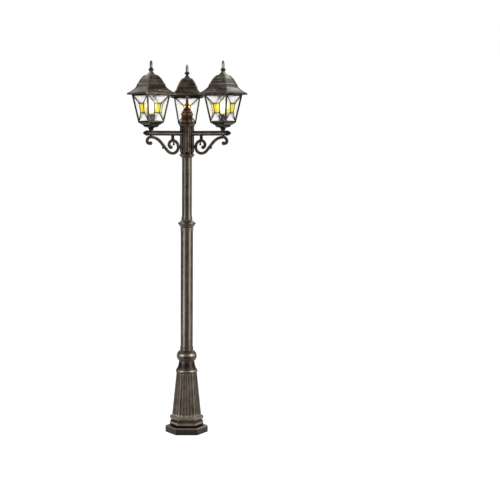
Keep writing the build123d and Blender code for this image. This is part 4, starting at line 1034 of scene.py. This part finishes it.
def slotted_screw(head_height, length):
    """Pan screw that points upwards, with a slot in the underside of its head."""
    head = sizes().pan_screw_head
    screw = bevelled_rod(head, 0, head_height, ROD_SIDES, PAN_SCREW_BEVEL)
    shank = bevelled_rod(SHANK_RADIUS * head, SHANK_START * head_height, length, SHANK_SIDES, SCREW_BEVEL)
    start_modelling()
    bpy.ops.mesh.primitive_cube_add(size=1.0)
    slot = bpy.context.object
    slot.scale = (SLOT_LENGTH * head, SLOT_WIDTH * head, SLOT_HEIGHT * head_height)
    carve(screw, slot)
    join_to(screw, shank)
    tidy_mesh(angle=35)
    return screw


class GARDENPOST_OT_pan_screws(bpy.types.Operator):
    """Makes the slotted screws that hold each cage on its pan"""

    bl_idname = "garden_post.pan_screws"
    bl_label = "Pan screws"

    def execute(self, context):
        low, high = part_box("cage_screws")
        reaches = (-PAN_SCREW_REACH, PAN_SCREW_REACH)
        places = [
            lantern_matrix(side) @ Matrix.Translation((x, y, low.z))
            for side in ARMS
            for x in reaches
            for y in reaches
        ]
        screws = copies_of(slotted_screw(PAN_SCREW_HEAD, high.z - low.z), "pan_screws", places)
        mount(screws, POST_BODY, "zinc_steel", bpy.data.materials["zinc_plated_steel"], "cage_screws")
        return {"FINISHED"}


def solder_joint():
    """Low round blob with a flat foot."""
    joint = flat_dome(sizes().solder_radius, sizes().solder_height, SOLDER_SIDES)
    tidy_mesh(angle=60)
    return joint


def solder_places(side):
    """Corners of the amber panes on the outer faces of a lantern's lead."""
    lean = math.atan2(CAGE_HALF_HEAD - CAGE_HALF_FOOT, CAGE_RISE)
    face = Matrix.Rotation(math.radians(90) + lean, 4, "Y")
    places = []
    for quarter in range(4):
        turn = lantern_matrix(side) @ Matrix.Rotation(math.radians(90 * quarter), 4, "Z")
        for half, up in AMBER_CORNERS:
            reach = CAGE_HALF_FOOT + up * math.sin(lean) - LEAD_INSET / math.cos(lean)
            for across in (-half, half):
                spot = Matrix.Translation((reach, across, CAGE_FOOT + up * math.cos(lean)))
                places.append(turn @ spot @ face)
    return places


class GARDENPOST_OT_solder(bpy.types.Operator):
    """Makes the solder joints where the lead strips meet"""

    bl_idname = "garden_post.solder"
    bl_label = "Solder joints"

    def execute(self, context):
        for side in ARMS:
            joints = copies_of(solder_joint(), f"solder_joints_{side}", solder_places(side))
            mount(joints, POST_BODY, "lead", bpy.data.materials["dull_lead"])
        return {"FINISHED"}


RING_RIBS = 24
RING_WALL = 0.0018
RIB_INSET = 0.0004
RIB_RISE = 0.0009
RING_DROP = 0.008  # top of the ring below the top of the lampholder


def shade_ring():
    """Ribbed ring about the Z axis, with its top on the ground plane."""
    size = sizes()
    start_modelling()
    bpy.ops.mesh.primitive_cylinder_add(
        vertices=2 * RING_RIBS,
        radius=size.ring_radius,
        depth=size.ring_height,
        end_fill_type="NOTHING",
        location=(0, 0, -size.ring_height / 2),
    )
    ring = bpy.context.object
    settle(ring)
    step = math.pi / RING_RIBS
    select_faces(lambda centre, normal: int(math.atan2(centre.y, centre.x) % math.tau / step) % 2 == 0)
    bpy.ops.mesh.inset(thickness=RIB_INSET, use_individual=True)
    bpy.ops.mesh.extrude_faces_move(
        MESH_OT_extrude_faces_indiv={}, TRANSFORM_OT_shrink_fatten={"value": RIB_RISE}
    )
    bpy.ops.object.mode_set(mode="OBJECT")
    wall = ring.modifiers.new("wall", "SOLIDIFY")
    wall.thickness = RING_WALL
    wall.offset = -1.0
    bpy.ops.object.modifier_apply(modifier=wall.name)
    tidy_mesh(angle=35)
    return ring


class GARDENPOST_OT_shade_rings(bpy.types.Operator):
    """Makes the ribbed ring on each lampholder"""

    bl_idname = "garden_post.shade_rings"
    bl_label = "Shade rings"

    def execute(self, context):
        for side in ARMS:
            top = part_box(f"lampholder_{side}")[1].z - RING_DROP
            places = [lantern_matrix(side) @ Matrix.Translation((0, 0, top))]
            ring = copies_of(shade_ring(), f"shade_ring_{side}", places)
            mount(ring, POST_BODY, "holder", bpy.data.materials["dark_lampholder"])
        return {"FINISHED"}


# Studio

FLOOR_SIZE = 60.0
FLOOR_DROP = 0.0005  # floor below the foot of the plinth
FLOOR_GREY = (0.45, 0.45, 0.45, 1.0)
FLOOR_GLOW = 0.88  # part of the floor's white that doesn't depend on the lamps

STRIP_DISTANCE = 3.0
STRIP_WIDTH = 0.75
# Tall softboxes before the post, clear of what the lantern panes mirror: name, degrees from the camera's
# side, level and height in metres, share of the strip power
STRIPS = (
    ("left_low", -55, 0.35, 1.1, 0.74),
    ("left_high", -55, 1.8, 1.8, 0.22),
    ("right_low", 55, 0.35, 1.1, 0.44),
    ("right_middle", 65, 1.4, 1.0, 0.45),
    ("right_high", 55, 2.15, 1.0, 0.25),
)
# Softboxes behind it, aimed at the lanterns: name, place in metres, share of the power behind
KICKERS = (("left_behind", (-2.1, 2.3, 3.3), 0.9), ("right_behind", (2.1, 2.3, 3.3), 2.3))
KICKER_SIZE = (1.4, 1.4)
KICKER_TARGET = (0, 0, 1.9)

# Dark cards: name, place, width and height in metres, and grey that the metal mirrors
CARDS = (
    ("front_card", (0, -7.0, 2.0), 9.0, 7.0, 0.0),
    ("left_card", (-2.3, 1.45, 0.6), 2.9, 2.6, 0.02),
    ("right_card", (2.9, 1.55, 0.6), 2.6, 2.6, 0.02),
    ("left_high_card", (-2.53, -0.58, 1.7), 1.0, 1.6, 0.1),
    ("right_high_card", (2.51, -0.67, 2.1), 1.2, 0.8, 0.1),
    ("ceiling_card", (1.1, -1.2, 4.4), 5.0, 5.0, 0.5),
    ("floor_card", (0, -1.75, 0.003), 3.6, 2.9, 0.12),
)
# Cards that lie level, and the way they face. The others stand and face the post's axis.
LEVEL_CARDS = {"ceiling_card": Vector((0, 0, -1)), "floor_card": Vector((0, 0, 1))}

SENSOR_WIDTH = 36.0


def shown_rays(tree):
    """1 for what the camera sees itself, or through glass, or in metal."""
    seen = tree.nodes.new("ShaderNodeLightPath").outputs
    shown = calc(tree, "MAXIMUM", seen["Is Camera Ray"], seen["Is Glossy Ray"])
    return calc(tree, "MAXIMUM", shown, seen["Is Transmission Ray"])


def setup_floor():
    """Pale floor that stays white to the camera and keeps the post's shadow."""
    start_modelling()
    bpy.ops.mesh.primitive_plane_add(size=FLOOR_SIZE, location=(0, 0, PLINTH_FOOT - FLOOR_DROP))
    floor = bpy.context.object
    floor.name = "studio_floor"
    made, tree, shader = new_material("studio_floor")
    nodes = tree.nodes
    nodes.remove(shader)
    matt = nodes.new("ShaderNodeBsdfDiffuse")
    matt.inputs["Color"].default_value = FLOOR_GREY
    glow = nodes.new("ShaderNodeEmission")
    plug(tree, glow.inputs["Strength"], calc(tree, "MULTIPLY", shown_rays(tree), FLOOR_GLOW))
    both = nodes.new("ShaderNodeAddShader")
    tree.links.new(matt.outputs[0], both.inputs[0])
    tree.links.new(glow.outputs[0], both.inputs[1])
    tree.links.new(both.outputs[0], nodes["Material Output"].inputs["Surface"])
    floor.data.materials.append(made)


def softbox(name, location, target, size, power):
    data = bpy.data.lights.new(name, "AREA")
    data.shape = "RECTANGLE"
    data.size, data.size_y = size
    data.energy = power
    lamp = bpy.data.objects.new(name, data)
    lamp.location = location
    lamp.rotation_euler = (Vector(target) - Vector(location)).to_track_quat("-Z", "Y").to_euler()
    lamp.visible_camera = False
    bpy.context.scene.collection.objects.link(lamp)


def setup_lights():
    """Tall softboxes before the post, left and right, and smaller ones behind it for the roofs."""
    for name, angle, level, height, share in STRIPS:
        turn = math.radians(angle)
        spot = (STRIP_DISTANCE * math.sin(turn), -STRIP_DISTANCE * math.cos(turn), level)
        softbox(name, spot, (0, 0, level), (STRIP_WIDTH, height), share * studio().strip_power)
    for name, spot, share in KICKERS:
        softbox(name, spot, KICKER_TARGET, KICKER_SIZE, share * studio().kicker_power)


def card_material(name, grey):
    """Dull black that glows a little where the metal mirrors it."""
    made, tree, shader = new_material(name)
    mottle = noise(tree, place(tree), scale=3.0, detail=2.0)
    black = tint(tree, mottle, (0.004, 0.004, 0.004), (0.012, 0.012, 0.012))
    glow = tint(tree, mottle, (0.9, 0.9, 0.9), (1.0, 1.0, 1.0))
    feed(tree, shader, {"Base Color": black, "Roughness": 0.9})
    feed(tree, shader, {"Emission Color": glow, "Emission Strength": grey})
    return made


def setup_cards():
    """Dark cards that the metal mirrors as its dark middle and edges. The camera doesn't see them."""
    for name, spot, width, height, grey in CARDS:
        start_modelling()
        bpy.ops.mesh.primitive_plane_add(size=1.0)
        card = bpy.context.object
        card.name = name
        card.location = spot
        facing = LEVEL_CARDS.get(name, Vector((-spot[0], -spot[1], 0)))
        card.rotation_euler = facing.to_track_quat("Z", "Y").to_euler()
        card.scale = (width, height, 1.0)
        card.data.materials.append(card_material(name, grey))
        card.visible_camera = False
        card.visible_diffuse = False
        card.visible_transmission = False
        card.visible_shadow = False


def setup_world():
    """White surroundings for what the camera, metal and glass see, and gentler light on matt faces."""
    world = bpy.data.worlds.new("studio_world")
    bpy.context.scene.world = world
    world.use_nodes = True
    tree = world.node_tree
    ground = tree.nodes["Background"]
    ground.inputs["Color"].default_value = (1.0, 1.0, 1.0, 1.0)
    ambient = studio().ambient
    level = calc(tree, "MULTIPLY_ADD", shown_rays(tree), 1.0 - ambient, ambient)
    tree.links.new(level, ground.inputs["Strength"])


def setup_camera():
    view = studio()
    data = bpy.data.cameras.new("photo_camera")
    data.sensor_width = SENSOR_WIDTH
    data.lens = view.camera_lens
    data.shift_x, data.shift_y = view.shift
    camera = bpy.data.objects.new("photo_camera", data)
    camera.location = (0, -view.camera_distance, view.camera_height)
    turn = (90 - view.camera_pitch, view.camera_roll, 0)
    camera.rotation_euler = [math.radians(angle) for angle in turn]
    bpy.context.scene.collection.objects.link(camera)
    bpy.context.scene.camera = camera
    bpy.context.scene.view_settings.view_transform = "Standard"


class GARDENPOST_OT_stage(bpy.types.Operator):
    """Sets up the floor, the light and the camera"""

    bl_idname = "garden_post.stage"
    bl_label = "Set up the studio"

    def execute(self, context):
        setup_floor()
        setup_lights()
        setup_cards()
        setup_world()
        setup_camera()
        return {"FINISHED"}


# Add-on

STEPS = (
    GARDENPOST_OT_finishes,
    GARDENPOST_OT_socket_screws,
    GARDENPOST_OT_cap_nuts,
    GARDENPOST_OT_pan_screws,
    GARDENPOST_OT_solder,
    GARDENPOST_OT_shade_rings,
    GARDENPOST_OT_stage,
)


class GARDENPOST_PT_panel(bpy.types.Panel):
    """Lists the steps that dress the post"""

    bl_idname = "GARDENPOST_PT_panel"
    bl_label = "Garden post"
    bl_space_type = "VIEW_3D"
    bl_region_type = "UI"
    bl_category = "Garden post"

    def draw(self, context):
        for step in STEPS:
            self.layout.operator(step.bl_idname)


CLASSES = (GardenPostFinish, GardenPostSizes, GardenPostStudio, *STEPS, GARDENPOST_PT_panel)


def register():
    for item in CLASSES:
        bpy.utils.register_class(item)
    scene = bpy.types.Scene
    scene.garden_post_finish = bpy.props.PointerProperty(type=GardenPostFinish)
    scene.garden_post_sizes = bpy.props.PointerProperty(type=GardenPostSizes)
    scene.garden_post_studio = bpy.props.PointerProperty(type=GardenPostStudio)


def unregister():
    del bpy.types.Scene.garden_post_finish
    del bpy.types.Scene.garden_post_sizes
    del bpy.types.Scene.garden_post_studio
    for item in reversed(CLASSES):
        bpy.utils.unregister_class(item)


def main():
    register()
    bpy.ops.garden_post.finishes()
    bpy.ops.garden_post.socket_screws()
    bpy.ops.garden_post.cap_nuts()
    bpy.ops.garden_post.pan_screws()
    bpy.ops.garden_post.solder()
    bpy.ops.garden_post.shade_rings()
    bpy.ops.garden_post.stage()


if __name__ == "__main__":
    main()
